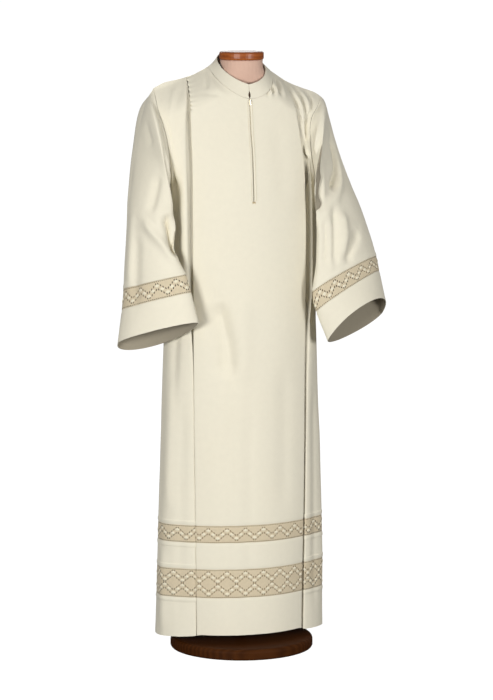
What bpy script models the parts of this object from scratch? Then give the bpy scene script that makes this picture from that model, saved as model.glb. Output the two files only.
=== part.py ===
"""Alb robe standing on a limbless dress form: cloth walls, lace bands, zip and stand."""
import math

import bmesh
import bpy
import numpy as np

# ---------------------------------------------------------------- driving sizes
GAP = 0.0003              # left between two pieces that meet
CLOTH = 0.0015            # wall of the plain cloth
LACE = 0.0012             # wall of the lace bands
SEAM_Y = 0.018            # the shoulder and side seams run at this depth
TOP_Z = 1.59              # the height at which the top row reads the tables
UNDERARM_Z = 1.28
SHOULDER_DROP = 0.085     # height over which the shoulder rounds into the front
NECK_HALF = 0.089         # half width of the neckline at the shoulder seams
NECK_FRONT_Z = 1.527
NECK_SIDE_Z = 1.604
NECK_BACK_Z = 1.612
SHOULDER = (
    # x,     z       (the shoulder seam)
    (NECK_HALF, NECK_SIDE_Z), (0.133, 1.579), (0.180, 1.563), (0.220, 1.551), (0.250, 1.532),
)
TILT = 0.080              # the right shoulder stands a little higher than the left
ZIP_BOTTOM_Z = 1.250
ZIP_SLIT = 0.0006         # half width of the opening that the zip fills

# Skirt bands, from the top: the plain cloth ends where the first one starts.
BANDS = (("upper_lace", 0.3605, LACE), ("skirt_band", 0.3125, CLOTH),
         ("lower_lace", 0.2385, LACE), ("hem_band", 0.1585, CLOTH))
HEM_FRONT_Z = 0.054
HEM_SIDE_Z = 0.044

# Level sections of the body: half width at the side seams, and how far the middle and
# the pleat edges of the front and of the back lie from the origin.
SECTIONS = (
    # z,     side,  front_mid, front_edge, back_edge, back_mid
    (1.640, 0.240, -0.068, -0.050, 0.066, 0.078),
    (1.520, 0.236, -0.073, -0.055, 0.088, 0.100),
    (1.440, 0.215, -0.084, -0.062, 0.100, 0.118),
    (1.370, 0.207, -0.099, -0.069, 0.104, 0.126),
    (1.280, 0.206, -0.108, -0.071, 0.103, 0.126),
    (1.160, 0.206, -0.111, -0.071, 0.099, 0.121),
    (1.000, 0.209, -0.113, -0.072, 0.098, 0.121),
    (0.850, 0.217, -0.115, -0.073, 0.101, 0.126),
    (0.600, 0.226, -0.116, -0.074, 0.105, 0.131),
    (0.360, 0.234, -0.117, -0.074, 0.108, 0.134),
    (0.040, 0.241, -0.118, -0.073, 0.111, 0.136),
)

# Where the folded edges of the four pleats run.
PLEATS = (
    # z,     front_right, front_left, back
    (1.590, 0.152, 0.122, 0.138),
    (1.500, 0.161, 0.138, 0.150),
    (1.430, 0.161, 0.147, 0.154),
    (1.330, 0.160, 0.157, 0.158),
    (0.700, 0.158, 0.158, 0.158),
    (0.040, 0.151, 0.151, 0.152),
)

# The edges of the armholes, from the shoulder tip to the underarm.
ARMHOLE_RIGHT = (
    # z,     front_x, front_y, back_x, back_y
    (1.553, 0.244, SEAM_Y, 0.244, SEAM_Y),
    (1.500, 0.243, -0.020, 0.238, 0.066),
    (1.450, 0.232, -0.040, 0.226, 0.088),
    (1.400, 0.2235, -0.050, 0.219, 0.092),
    (1.340, 0.216, -0.046, 0.212, 0.082),
    (1.300, 0.209, -0.022, 0.208, 0.054),
    (UNDERARM_Z, 0.206, SEAM_Y, 0.206, SEAM_Y),
)
ARMHOLE_LEFT = (
    (1.527, 0.236, SEAM_Y, 0.236, SEAM_Y),
    (1.500, 0.214, -0.016, 0.226, 0.060),
    (1.470, 0.190, -0.036, 0.220, 0.078),
    (1.420, 0.180, -0.052, 0.214, 0.090),
    (1.350, 0.186, -0.056, 0.209, 0.084),
    (1.300, 0.199, -0.028, 0.207, 0.054),
    (UNDERARM_Z, 0.206, SEAM_Y, 0.206, SEAM_Y),
)

# Sleeve sections. Each is a lens between the outer edge (under the shoulder tip) and the
# inner edge (under the arm), with the reach of its front and of its back from the middle.
SLEEVE_COLUMNS = ("outer", "inner", "front", "back")
SLEEVE_RIGHT = (
    ((-0.268, 0.022, 1.512), (-0.222, -0.010, 1.258), (-0.012, -0.080, 0.020), (-0.015, 0.086, 0.000)),
    ((-0.2935, 0.020, 1.400), (-0.232, -0.050, 1.235), (0.004, -0.064, 0.004), (-0.012, 0.076, 0.000)),
    ((-0.3100, 0.018, 1.277), (-0.220, -0.086, 1.196), (-0.025, -0.036, 0.000), (-0.015, 0.060, 0.000)),
    ((-0.3200, 0.010, 1.190), (-0.213, -0.097, 1.135), (-0.025, -0.034, 0.002), (-0.010, 0.058, -0.005)),
    ((-0.3310, -0.002, 1.100), (-0.207, -0.104, 1.090), (-0.022, -0.034, 0.004), (-0.008, 0.060, -0.016)),
    ((-0.3375, -0.006, 1.014), (-0.195, -0.116, 1.060), (-0.022, -0.036, 0.004), (-0.006, 0.062, -0.030)),
    ((-0.3450, -0.012, 0.958), (-0.183, -0.126, 1.012), (-0.022, -0.037, 0.006), (-0.004, 0.064, -0.034)),
    ((-0.3600, -0.020, 0.867), (-0.167, -0.140, 0.930), (-0.022, -0.038, 0.013), (0.000, 0.068, -0.046)),
)
SLEEVE_LEFT = (
    ((0.252, 0.024, 1.500), (0.214, -0.012, 1.262), (-0.030, -0.090, 0.020), (0.015, 0.084, 0.000)),
    ((0.282, 0.030, 1.405), (0.200, -0.072, 1.238), (-0.052, -0.070, 0.010), (0.016, 0.074, 0.000)),
    ((0.312, 0.024, 1.315), (0.186, -0.094, 1.195), (-0.030, -0.045, 0.010), (0.020, 0.056, 0.000)),
    ((0.345, 0.009, 1.225), (0.182, -0.103, 1.145), (-0.006, -0.048, 0.020), (0.020, 0.055, -0.005)),
    ((0.370, -0.003, 1.140), (0.1765, -0.112, 1.075), (0.006, -0.045, 0.028), (0.020, 0.055, -0.015)),
    ((0.387, -0.010, 1.072), (0.164, -0.120, 1.000), (0.014, -0.045, 0.030), (0.015, 0.055, -0.025)),
    ((0.392, -0.018, 1.030), (0.174, -0.125, 0.946), (0.018, -0.045, 0.035), (0.012, 0.055, -0.022)),
    ((0.412, -0.010, 0.925), (0.206, -0.130, 0.866), (0.020, -0.050, 0.056), (0.010, 0.058, -0.022)),
)
SLEEVE_LACE_AT = 6        # the section where a sleeve's lace starts; the cuff starts one on
SLEEVE_STEPS = 2          # rings from one section to the next
ARMHOLE_GAP = 0.0009      # between a sleeve and the edge of its armhole
SLEEVE_GAP = 0.0003       # drawn in on each side of a sleeve's seams, which run at a slant

# The form under the robe, from the hips to the top of the neck.
FORM = (
    # z,     half_width, front, back
    (0.800, 0.148, 0.078, 0.090),
    (0.806, 0.156, 0.086, 0.098),
    (0.900, 0.165, 0.096, 0.108),
    (1.000, 0.158, 0.092, 0.102),
    (1.100, 0.140, 0.082, 0.088),
    (1.200, 0.146, 0.086, 0.092),
    (1.300, 0.160, 0.088, 0.100),
    (1.380, 0.160, 0.074, 0.100),
    (1.440, 0.154, 0.060, 0.092),
    (1.490, 0.144, 0.046, 0.078),
    (1.525, 0.126, 0.042, 0.062),
    (1.552, 0.104, 0.042, 0.054),
    (1.572, 0.084, 0.046, 0.054),
    (1.590, 0.066, 0.051, 0.055),
    (1.610, 0.0585, 0.055, 0.057),
    (1.6295, 0.0575, 0.0575, 0.0575),
)
FORM_SIDES = 32

# Turned pieces: radius and height down the outer side, from the top.
CAP_PROFILE = ((0.0, 1.6520), (0.0565, 1.6520), (0.0595, 1.6505), (0.0608, 1.6475),
               (0.0608, 1.6345), (0.0595, 1.6313), (0.0565, 1.6298), (0.0, 1.6298))
BASE_PROFILE = ((0.0, 0.0300), (0.1880, 0.0300), (0.1935, 0.0285), (0.1970, 0.0245),
                (0.1985, 0.0195), (0.1985, 0.0040), (0.1960, 0.0), (0.0, 0.0))
POLE_RADIUS = 0.0125

COLLAR_COLUMNS = 20       # round the collar; a multiple of four
COLLAR_LIFT = 0.0022      # the collar's foot stands this far above the neckline
RIM_HALF = 0.0665         # half width of the collar's rim
RIM_FRONT_Y = -0.0640
RIM_BACK_Y = 0.0680
RIM_FRONT_Z = 1.566
RIM_BACK_Z = 1.642
RIM_CROWN = 0.013         # the rim stands this much higher at the sides than a level cut
COLLAR_ROWS = ((0.0, 0.0004), (0.35, 0.0004), (0.70, 0.0024), (1.0, 0.0012))

SLIDER = (0.0044, 0.0024, 0.0080)   # the zip slider's width, depth and height
SLIDER_Z = 1.5205
ZIP_CLEAR = 0.0012        # the zip's tape lies this far behind the cloth
SLIDER_CLEAR = 0.0008     # and its slider this far ahead of it
PULL_LENGTH = 0.0105
PULL_WIDTH = 0.0036
PULL_THICK = 0.0009
PULL_BAR = 0.0010         # the bar of the pull that runs under the slider's arch
PULL_WINDOW = (0.0019, 0.0031)
ARCH_RADIUS = 0.0004

# ------------------------------------------------------------------ plain tools
def smooth(t):
    """0 to 1 with soft ends, for t from 0 to 1."""
    t = min(1.0, max(0.0, t))
    return t * t * (3.0 - 2.0 * t)


def table(rows, at, column):
    """The value of a column at a height, from a table whose heights fall."""
    rows = sorted(rows)
    return float(np.interp(at, [r[0] for r in rows], [r[column] for r in rows]))


def through(points, steps):
    """A smooth line through the given points, with steps + 1 points along it."""
    p = np.array(points, float)
    p = np.vstack([2 * p[0] - p[1], p, 2 * p[-1] - p[-2]])
    out = []
    for t in np.linspace(0.0, len(points) - 1, steps + 1):
        i = min(int(t), len(points) - 2)
        f = t - i
        a, b, c, d = p[i:i + 4]
        out.append(0.5 * (2 * b + (c - a) * f + (2 * a - 5 * b + 4 * c - d) * f ** 2
                          + (3 * b - a - 3 * c + d) * f ** 3))
    return np.array(out)


def normals(grid, closed=False):
    """Outward directions on a grid whose rows run down and columns run to the right."""
    down = np.gradient(grid, axis=0)
    if closed:
        across = np.roll(grid, -1, axis=1) - np.roll(grid, 1, axis=1)
    else:
        across = np.gradient(grid, axis=1)
    n = np.cross(down, across)
    return n / np.maximum(np.linalg.norm(n, axis=2, keepdims=True), 1e-9)


# ---------------------------------------------------------- shape of the body cloth
def shoulder_z(x, neck_rise):
    """Height of the shoulder seam; over the neck it runs on upwards, as a guide."""
    x = abs(x)
    if x < NECK_HALF:
        return NECK_SIDE_Z + neck_rise * (1.0 - (x / NECK_HALF) ** 2)
    return float(np.interp(x, [r[0] for r in SHOULDER], [r[1] for r in SHOULDER]))


def neckline_z(x, middle_z):
    """Height of the neckline, which rises from its middle to the shoulder seams."""
    u = min(1.0, abs(x) / NECK_HALF)
    return middle_z + (NECK_SIDE_Z - middle_z) * (1.0 - math.sqrt(1.0 - u * u)) ** 0.85


def lean(x, z):
    """How far a point is raised by the tilt of the shoulders."""
    return -TILT * x * smooth((z - 1.25) / 0.25)


def hem_z(x):
    return HEM_FRONT_Z + (HEM_SIDE_Z - HEM_FRONT_Z) * smooth((abs(x) - 0.14) / 0.04)


class Face:
    """The front or the back of the body: its depth at any x and height."""

    def __init__(self, front):
        self.front = front
        self.mid = 2 if front else 5
        self.edge = 3 if front else 4
        self.rise = 0.016 if front else 0.050
        self.neck = NECK_FRONT_Z if front else NECK_BACK_Z

    def pleat(self, side, z):
        """x of the folded edge, without its sign."""
        column = 3 if not self.front else (1 if side < 0 else 2)
        return table(PLEATS, z, column)

    def flat_y(self, x, z, half):
        """Depth of the middle panel before the shoulder rounds it off."""
        u = min(1.0, abs(x) / half)
        edge = table(SECTIONS, z, self.edge)
        return edge + (table(SECTIONS, z, self.mid) - edge) * (1.0 - u ** 2.2)

    def rounded(self, x, y, z):
        """The depth once the cloth has turned over the shoulder."""
        drop = (shoulder_z(x, self.rise) - z) / SHOULDER_DROP
        return SEAM_Y + (y - SEAM_Y) * math.sin(math.pi / 2 * min(1.0, max(0.0, drop)))

    def top(self, x):
        if abs(x) < NECK_HALF:
            return neckline_z(x, self.neck)
        return shoulder_z(x, self.rise)


FRONT, BACK = Face(True), Face(False)
UPPER_ROWS = 9            # steps from the shoulder to the underarm
LOWER_ROWS = 4            # steps from the foot of the zip to the lace
BAND_TOPS = [z for _, z, _ in BANDS]


def row_heights():
    """Rows below the underarm. Each band's seam is two rows GAP apart, and None is the hem."""
    levels = np.linspace(ZIP_BOTTOM_Z, BAND_TOPS[0] + GAP / 2, LOWER_ROWS + 1).tolist()
    for top, below in zip(BAND_TOPS, [*BAND_TOPS[1:], None]):
        levels += [top - GAP / 2, None if below is None else below + GAP / 2]
    return levels


LEVELS = row_heights()


def row_z(face, x, step):
    """Height of a row at x: rows above the underarm fan out from the top edge."""
    if step <= UPPER_ROWS:
        return UNDERARM_Z + (face.top(x) - UNDERARM_Z) * (1.0 - step / UPPER_ROWS)
    z = LEVELS[step - UPPER_ROWS - 1]
    return hem_z(x) if z is None else z


def nominal(step):
    """The height at which a row's widths are read."""
    if step <= UPPER_ROWS:
        return UNDERARM_Z + (TOP_Z - UNDERARM_Z) * (1.0 - step / UPPER_ROWS)
    z = LEVELS[step - UPPER_ROWS - 1]
    return HEM_FRONT_Z if z is None else z


ROWS = UPPER_ROWS + 1 + len(LEVELS)
NECK_COLUMNS = 5          # columns from the middle to the neck's side
SHOULDER_COLUMNS = 2      # and on to the pleat


def middle_columns(face, side):
    """Places from the middle of a panel to its pleat, as shares of the half width at the top."""
    half = face.pleat(side, TOP_Z)
    neck = [math.sin(math.pi / 2 * k / NECK_COLUMNS) * NECK_HALF / half for k in range(NECK_COLUMNS)]
    return neck + np.linspace(NECK_HALF / half, 1.0, SHOULDER_COLUMNS + 1).tolist()


def middle_panel(face):
    """Grid of the middle panel between its pleat edges, the columns from -X to +X."""
    grid = []
    for step in range(ROWS):
        zn = nominal(step)
        line = []
        shares = [(-1, s) for s in reversed(middle_columns(face, -1)[1:])]
        shares += [(1, s) for s in middle_columns(face, 1)]
        for side, share in shares:
            half = face.pleat(side, zn)
            x = side * share * half
            z = row_z(face, x, step)
            y = face.rounded(x, face.flat_y(x, z, half), z)
            line.append((x, y, z + lean(x, z)))
        grid.append(line)
    return np.array(grid)


SIDE_COLUMNS = 7          # columns from a pleat to the side seam
SIDE_X = 0.2              # any place beyond the pleats, where the rows are level
UNDERLAP = 0.026          # how far a side panel runs on behind the pleat's edge
PLEAT_DEPTH = 0.014       # how deep it lies there


def armhole(side):
    return ARMHOLE_RIGHT if side < 0 else ARMHOLE_LEFT


def side_half(face, side):
    """Grid of a side panel from its hidden edge behind the pleat to the side seam."""
    grid = []
    inward = 1.0 if face.front else -1.0
    columns = (1, 2) if face.front else (3, 4)
    rows = armhole(side)
    for step in range(ROWS):
        zn = nominal(step)
        pleat_x = face.pleat(side, zn)
        edge_y = table(SECTIONS, zn, face.edge)
        up = max(0.0, 1.0 - step / UPPER_ROWS)
        opened = smooth((1.0 - up - 0.12) / 0.30)
        folds = ((pleat_x + GAP - UNDERLAP * opened, PLEAT_DEPTH),
                 (pleat_x + 0.004, 0.95 * PLEAT_DEPTH),
                 (pleat_x + 0.022, 0.30 * PLEAT_DEPTH))
        keys = []
        for x, deep in folds:
            z = row_z(face, side * x, step)
            y = face.rounded(side * x, edge_y + inward * deep, z)
            keys.append((x, y, z + lean(side * x, z)))
        if step <= UPPER_ROWS:
            z = UNDERARM_Z + (rows[0][0] - UNDERARM_Z) * up
            end = (table(rows, z, columns[0]), table(rows, z, columns[1]), z)
        else:
            z = row_z(face, side * SIDE_X, step)
            end = (table(SECTIONS, z, 1), SEAM_Y, z)
        start = np.array(keys[-1])
        span = np.array(end) - start
        rounding = 1.0 - up
        near = start + span * (0.50, 0.50 - 0.27 * rounding, 0.50)
        far = start + span * (0.75 + 0.16 * rounding, 0.75 - 0.13 * rounding, 0.75)
        line = through([*keys, near, far, end], SIDE_COLUMNS) * (side, 1.0, 1.0)
        if step == 0:
            for q in line:
                q[2] = shoulder_z(q[0], 0.0) + lean(q[0], TOP_Z)
        grid.append(line)
    return np.array(grid)


# ------------------------------------------------------------------- the sleeves
def sleeve(ring, stations):
    """Grid of a sleeve: rings from the armhole's edge down to the cuff."""
    count = len(ring)
    turns = np.arange(count) / count * 2.0 * math.pi
    grid = [ring]
    for k, (outer, inner, front, back) in enumerate(stations):
        outer, inner, front, back = (np.array(v) for v in (outer, inner, front, back))
        rows = []
        for t in turns:
            reach = front * math.sin(t) if math.sin(t) > 0 else back * -math.sin(t)
            rows.append((outer + inner) / 2 + (outer - inner) / 2 * math.cos(t) + reach)
        grid.append(np.array(rows))
    return np.array(grid)


def between(grid, steps):
    """The same rings with more of them, on smooth lines through the ones given."""
    lines = [through(grid[:, j], steps) for j in range(grid.shape[1])]
    return np.stack(lines, axis=1)


# --------------------------------------------------------------------- the collar
def seam_point(turn, side):
    """A point of the neckline, from the middle of the front (0) round to the back (1)."""
    face = FRONT if turn <= 0.5 else BACK
    x = side * NECK_HALF * math.sin(math.pi * turn)
    z = neckline_z(x, face.neck)
    y = face.rounded(x, face.flat_y(x, z, face.pleat(side, TOP_Z)), z)
    return np.array((x, y, z + lean(x, z)))


def rim_point(turn, side):
    c, s = math.cos(math.pi * turn), math.sin(math.pi * turn)
    x = side * RIM_HALF * s
    y = (RIM_BACK_Y + RIM_FRONT_Y) / 2 - (RIM_BACK_Y - RIM_FRONT_Y) / 2 * c
    z = (RIM_BACK_Z + RIM_FRONT_Z) / 2 - (RIM_BACK_Z - RIM_FRONT_Z) / 2 * c + RIM_CROWN * s
    return np.array((x, y, z + lean(x, z)))


def collar_grid():
    """Columns from the left front edge round the back to the right, rows from the rim."""
    grid = []
    for share, slit in COLLAR_ROWS:
        line = []
        for c in range(COLLAR_COLUMNS + 1):
            t = 2.0 * c / COLLAR_COLUMNS - 1.0
            turn, side = 1.0 - abs(t), (1.0 if t < 0 else -1.0)
            foot, rim = seam_point(turn, side) + (0, 0, COLLAR_LIFT), rim_point(turn, side)
            spot = rim + (foot - rim) * share
            if turn < 1e-9:
                spot[0] += side * slit
            line.append(spot)
        grid.append(line)
    return np.array(grid)


# ------------------------------------------------------------ objects and materials
def clear_scene():
    for thing in list(bpy.data.objects):
        bpy.data.objects.remove(thing, do_unlink=True)


def collection(name):
    made = bpy.data.collections.new(name)
    bpy.context.scene.collection.children.link(made)
    return made


def material(name, colour, roughness, metallic=0.0):
    made = bpy.data.materials.new(name)
    made.use_nodes = True
    shader = made.node_tree.nodes["Principled BSDF"]
    shader.inputs["Base Color"].default_value = (*colour, 1.0)
    shader.inputs["Roughness"].default_value = roughness
    shader.inputs["Metallic"].default_value = metallic
    return made


FINISHES = {
    "cloth": ((0.80, 0.76, 0.62), 0.85, 0.0),
    "lace": ((0.72, 0.64, 0.46), 0.80, 0.0),
    "form": ((0.66, 0.48, 0.38), 0.75, 0.0),
    "varnished": ((0.42, 0.13, 0.03), 0.25, 0.0),
    "dark_wood": ((0.035, 0.016, 0.010), 0.30, 0.0),
    "zip_metal": ((0.60, 0.56, 0.45), 0.35, 1.0),
    "zip_tape": ((0.70, 0.66, 0.54), 0.70, 0.0),
}


def add(name, mesh, finish, parts):
    thing = bpy.data.objects.new(name, mesh)
    parts.objects.link(thing)
    mesh.materials.append(material(name, *FINISHES[finish]))
    return thing


def wall(name, grid, out, thick, finish, parts, closed=False, slit_to=None):
    """A cloth wall: the grid is its outer side, and the inner side lies thick behind it."""
    rows, cols = grid.shape[:2]
    middle = cols // 2
    points, inner, index = [], [], {}
    for i in range(rows):
        for j in range(cols):
            split = slit_to is not None and j == middle and i < slit_to
            for part, shift in ((0, -ZIP_SLIT), (1, ZIP_SLIT)) if split else ((0, 0.0),):
                index[i, j, part] = len(points)
                points.append(grid[i, j] + (shift, 0, 0))
                inner.append(points[-1] - out[i, j] * thick)
            if not split:
                index[i, j, 1] = index[i, j, 0]
    faces = []
    for i in range(rows - 1):
        for j in range(cols if closed else cols - 1):
            k = (j + 1) % cols
            faces.append((index[i, j, 1], index[i + 1, j, 1], index[i + 1, k, 0], index[i, k, 0]))
    edges = {(f[n], f[(n + 1) % 4]) for f in faces for n in range(4)}
    shift = len(points)
    rim = [(b, a, a + shift, b + shift) for a, b in sorted(edges) if (b, a) not in edges]
    back = [tuple(v + shift for v in reversed(f)) for f in faces]
    mesh = bpy.data.meshes.new(name)
    mesh.from_pydata([tuple(p) for p in points + inner], [], faces + back + rim)
    mesh.shade_smooth()
    mesh.set_sharp_from_angle(angle=math.radians(50))
    return add(name, mesh, finish, parts)


def pulled(grid, top=0.0, bottom=0.0, left=0.0, right=0.0):
    """The grid with its edges drawn in along the cloth, to leave the seams' gaps."""
    g = np.array(grid)
    for rows, inner, by in ((0, 1, top), (-1, -2, bottom)):
        d = g[inner] - g[rows]
        g[rows] += d / np.linalg.norm(d, axis=-1, keepdims=True) * by
    for cols, inner, by in ((0, 1, left), (-1, -2, right)):
        d = g[:, inner] - g[:, cols]
        g[:, cols] += d / np.linalg.norm(d, axis=-1, keepdims=True) * by
    return g


def loft(name, rings, finish, parts):
    """A closed solid through rings of points that run anticlockwise, from the bottom up."""
    made = bmesh.new()
    lines = [[made.verts.new(p) for p in ring] for ring in rings]
    count = len(rings[0])
    for low, high in zip(lines, lines[1:]):
        for j in range(count):
            k = (j + 1) % count
            made.faces.new((low[j], low[k], high[k], high[j]))
    made.faces.new(list(reversed(lines[0])))
    made.faces.new(lines[-1])
    mesh = bpy.data.meshes.new(name)
    made.to_mesh(mesh)
    made.free()
    mesh.shade_smooth()
    mesh.set_sharp_from_angle(angle=math.radians(40))
    return add(name, mesh, finish, parts)


def turned(name, profile, finish, parts, steps=48):
    """A turned piece: its profile runs down the outer side from the axis to the axis."""
    mesh = bpy.data.meshes.new(name)
    mesh.from_pydata([(r, 0.0, z) for r, z in profile], [],
                     [(n, n + 1) for n in range(len(profile) - 1)])
    thing = add(name, mesh, finish, parts)
    screw = thing.modifiers.new("turn", "SCREW")
    screw.steps = screw.render_steps = steps
    screw.use_merge_vertices = True
    screw.merge_threshold = 0.00005
    screw.use_normal_flip = True
    screw.use_smooth_shade = True
    return thing


# --------------------------------------------------------------------- the pieces
def make_form(parts):
    rings = []
    for z, half, front, back in FORM:
        ring = []
        for k in range(FORM_SIDES):
            t = 2.0 * math.pi * k / FORM_SIDES
            depth = front if math.sin(t) < 0 else back
            ring.append((half * math.cos(t), depth * math.sin(t), z))
        rings.append(ring)
    loft("form_torso", rings, "form", parts)
    turned("neck_cap", CAP_PROFILE, "varnished", parts)
    turned("stand_base", BASE_PROFILE, "dark_wood", parts)
    foot, head = BASE_PROFILE[0][1] + GAP, FORM[0][0] - GAP
    turned("stand_pole", ((0.0, head), (POLE_RADIUS, head), (POLE_RADIUS, foot), (0.0, foot)),
           "dark_wood", parts, steps=20)


def add_bands(name, grid, out, parts):
    """The plain cloth's end and the four bands, each a pair of rows of the panel's grid."""
    first = ROWS - 2 * len(BANDS)
    for n, (band, _, thick) in enumerate(BANDS):
        rows = slice(first + 2 * n, first + 2 * n + 2)
        finish = "lace" if "lace" in band else "cloth"
        wall(f"{band}_{name}", grid[rows], out[rows], thick, finish, parts)
    return first


def level_at_seams(grid, out):
    """On the shoulder and side seams both pieces get the same direction."""
    on_seam = np.abs(grid[:, :, 1] - SEAM_Y) < 1e-6
    out[on_seam, 1] = 0.0
    return out / np.linalg.norm(out, axis=2, keepdims=True)


def make_middle(face, name, parts):
    grid = middle_panel(face)
    if not face.front:
        grid = grid[:, ::-1]
    out = level_at_seams(grid, normals(grid))
    first = ROWS - 2 * len(BANDS)
    slit = UPPER_ROWS + 1 if face.front else None
    wall(f"{name}_panel", pulled(grid[:first], top=GAP / 2), out[:first], CLOTH, "cloth", parts,
         slit_to=slit)
    add_bands(name, grid, out, parts)


def make_side(side, name, parts):
    """A side panel of the front and one of the back, the bands round both, and the sleeve."""
    front, back = side_half(FRONT, side), side_half(BACK, side)
    near, far = (front, back[:, ::-1]) if side > 0 else (back, front[:, ::-1])
    strip = np.concatenate([near, far[:, 1:]], axis=1)
    whole = level_at_seams(strip, normals(strip))
    near_out, far_out = normals(near), normals(far)
    near_out[UPPER_ROWS:] = whole[UPPER_ROWS:, :SIDE_COLUMNS + 1]
    far_out[UPPER_ROWS:] = whole[UPPER_ROWS:, SIDE_COLUMNS:]
    near_out, far_out = level_at_seams(near, near_out), level_at_seams(far, far_out)
    labels = ("front", "back") if side > 0 else ("back", "front")
    first = ROWS - 2 * len(BANDS)
    wall(f"{labels[0]}_side_panel_{name}", pulled(near[:first], top=GAP / 2, right=GAP / 2),
         near_out[:first], CLOTH, "cloth", parts)
    wall(f"{labels[1]}_side_panel_{name}", pulled(far[:first], top=GAP / 2, left=GAP / 2),
         far_out[:first], CLOTH, "cloth", parts)
    add_bands(f"{name}_side", strip, whole, parts)
    make_sleeve(side, name, front[:UPPER_ROWS + 1, -1], back[:UPPER_ROWS + 1, -1], parts)


def make_sleeve(side, name, front_edge, back_edge, parts):
    ring = np.concatenate([front_edge, back_edge[-2:0:-1]]) + (side * ARMHOLE_GAP, 0, 0)
    grid = sleeve(ring, SLEEVE_RIGHT if side < 0 else SLEEVE_LEFT)
    grid = between(grid, SLEEVE_STEPS * (len(grid) - 1))
    if side > 0:
        grid = grid[:, ::-1]
    out = normals(grid, closed=True)
    lace, cuff = SLEEVE_LACE_AT * SLEEVE_STEPS, (SLEEVE_LACE_AT + 1) * SLEEVE_STEPS
    for label, low, high, thick, finish in (("sleeve", 0, lace, CLOTH, "cloth"),
                                            ("sleeve_lace", lace, cuff, LACE, "lace"),
                                            ("cuff_band", cuff, len(grid) - 1, CLOTH, "cloth")):
        rows = slice(low, high + 1)
        piece = pulled(grid[rows], top=SLEEVE_GAP * (low > 0), bottom=SLEEVE_GAP * (high < len(grid) - 1))
        wall(f"{label}_{name}", piece, out[rows], thick, finish, parts, closed=True)


def make_collar(parts):
    grid = collar_grid()
    wall("collar", grid, normals(grid), CLOTH, "cloth", parts)


def front_middle(z, inset):
    """The point of the front's middle line at a height, moved in by inset."""
    return np.array((0.0, FRONT.flat_y(0.0, z, 1.0) + inset, z))


def make_zip(parts, cutters):
    tape = []
    for z in np.linspace(NECK_FRONT_Z - 0.002, ZIP_BOTTOM_Z + 0.004, 8):
        middle = front_middle(z, CLOTH + ZIP_CLEAR)
        tape.append([middle + (x, 0, 0) for x in (-0.007, 0.007)])
    tape = np.array(tape)
    wall("zip_tape", tape, normals(tape), 0.0008, "zip_tape", parts)

    wide, deep, tall = SLIDER
    cloth_y = front_middle(SLIDER_Z - tall / 2, 0.0)[1]
    back_y = cloth_y - SLIDER_CLEAR
    slider = bmesh.new()
    bmesh.ops.create_cube(slider, size=1.0)
    bmesh.ops.scale(slider, vec=(wide, deep, tall), verts=slider.verts)
    bmesh.ops.translate(slider, vec=(0, back_y - deep / 2, SLIDER_Z), verts=slider.verts)
    mesh = bpy.data.meshes.new("zip_slider")
    slider.to_mesh(mesh)
    slider.free()
    body = add("zip_slider", mesh, "zip_metal", parts)
    bevel = body.modifiers.new("soft_edges", "BEVEL")
    bevel.width, bevel.segments = 0.0005, 2
    face_y = back_y - deep
    half = 0.0022
    arch = curve_line("slider_arch", [(0, face_y + 0.0005, SLIDER_Z + half),
                                      (0, face_y - 0.0015, SLIDER_Z + 0.9 * half),
                                      (0, face_y - 0.0023, SLIDER_Z + 0.4 * half),
                                      (0, face_y - 0.0023, SLIDER_Z - 0.4 * half),
                                      (0, face_y - 0.0015, SLIDER_Z - 0.9 * half),
                                      (0, face_y + 0.0005, SLIDER_Z - half)], ARCH_RADIUS, cutters)
    join = body.modifiers.new("arch", "BOOLEAN")
    join.operation, join.object = "UNION", arch
    make_pull(face_y - 0.00095, parts)


def curve_line(name, points, radius, cutters):
    """A round wire through points, as a closed mesh that a Boolean can use."""
    line = bpy.data.curves.new(name, "CURVE")
    line.dimensions = "3D"
    spline = line.splines.new("POLY")
    spline.points.add(len(points) - 1)
    for point, at in zip(spline.points, points):
        point.co = (*at, 1.0)
    line.bevel_depth, line.bevel_resolution, line.use_fill_caps = radius, 2, True
    guide = bpy.data.objects.new(f"{name}_line", line)
    cutters.objects.link(guide)
    solid = bpy.data.meshes.new_from_object(guide.evaluated_get(bpy.context.evaluated_depsgraph_get()))
    welded = bmesh.new()
    welded.from_mesh(solid)
    bmesh.ops.remove_doubles(welded, verts=welded.verts, dist=0.00001)
    welded.to_mesh(solid)
    welded.free()
    bpy.data.objects.remove(guide)
    made = bpy.data.objects.new(name, solid)
    cutters.objects.link(made)
    made.hide_render = True
    made.display_type = "WIRE"
    return made


def rounded_outline(curve, half_width, low, high, corner, steps=4):
    """A closed outline with round corners in a flat curve's own plane."""
    points = []
    for cx, cy, start in ((half_width - corner, high - corner, 0), (corner - half_width, high - corner, 90),
                          (corner - half_width, low + corner, 180), (half_width - corner, low + corner, 270)):
        for k in range(steps + 1):
            t = math.radians(start + 90 * k / steps)
            points.append((cx + corner * math.cos(t), cy + corner * math.sin(t)))
    spline = curve.splines.new("POLY")
    spline.points.add(len(points) - 1)
    for point, (x, y) in zip(spline.points, points):
        point.co = (x, y, 0.0, 1.0)
    spline.use_cyclic_u = True


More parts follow.
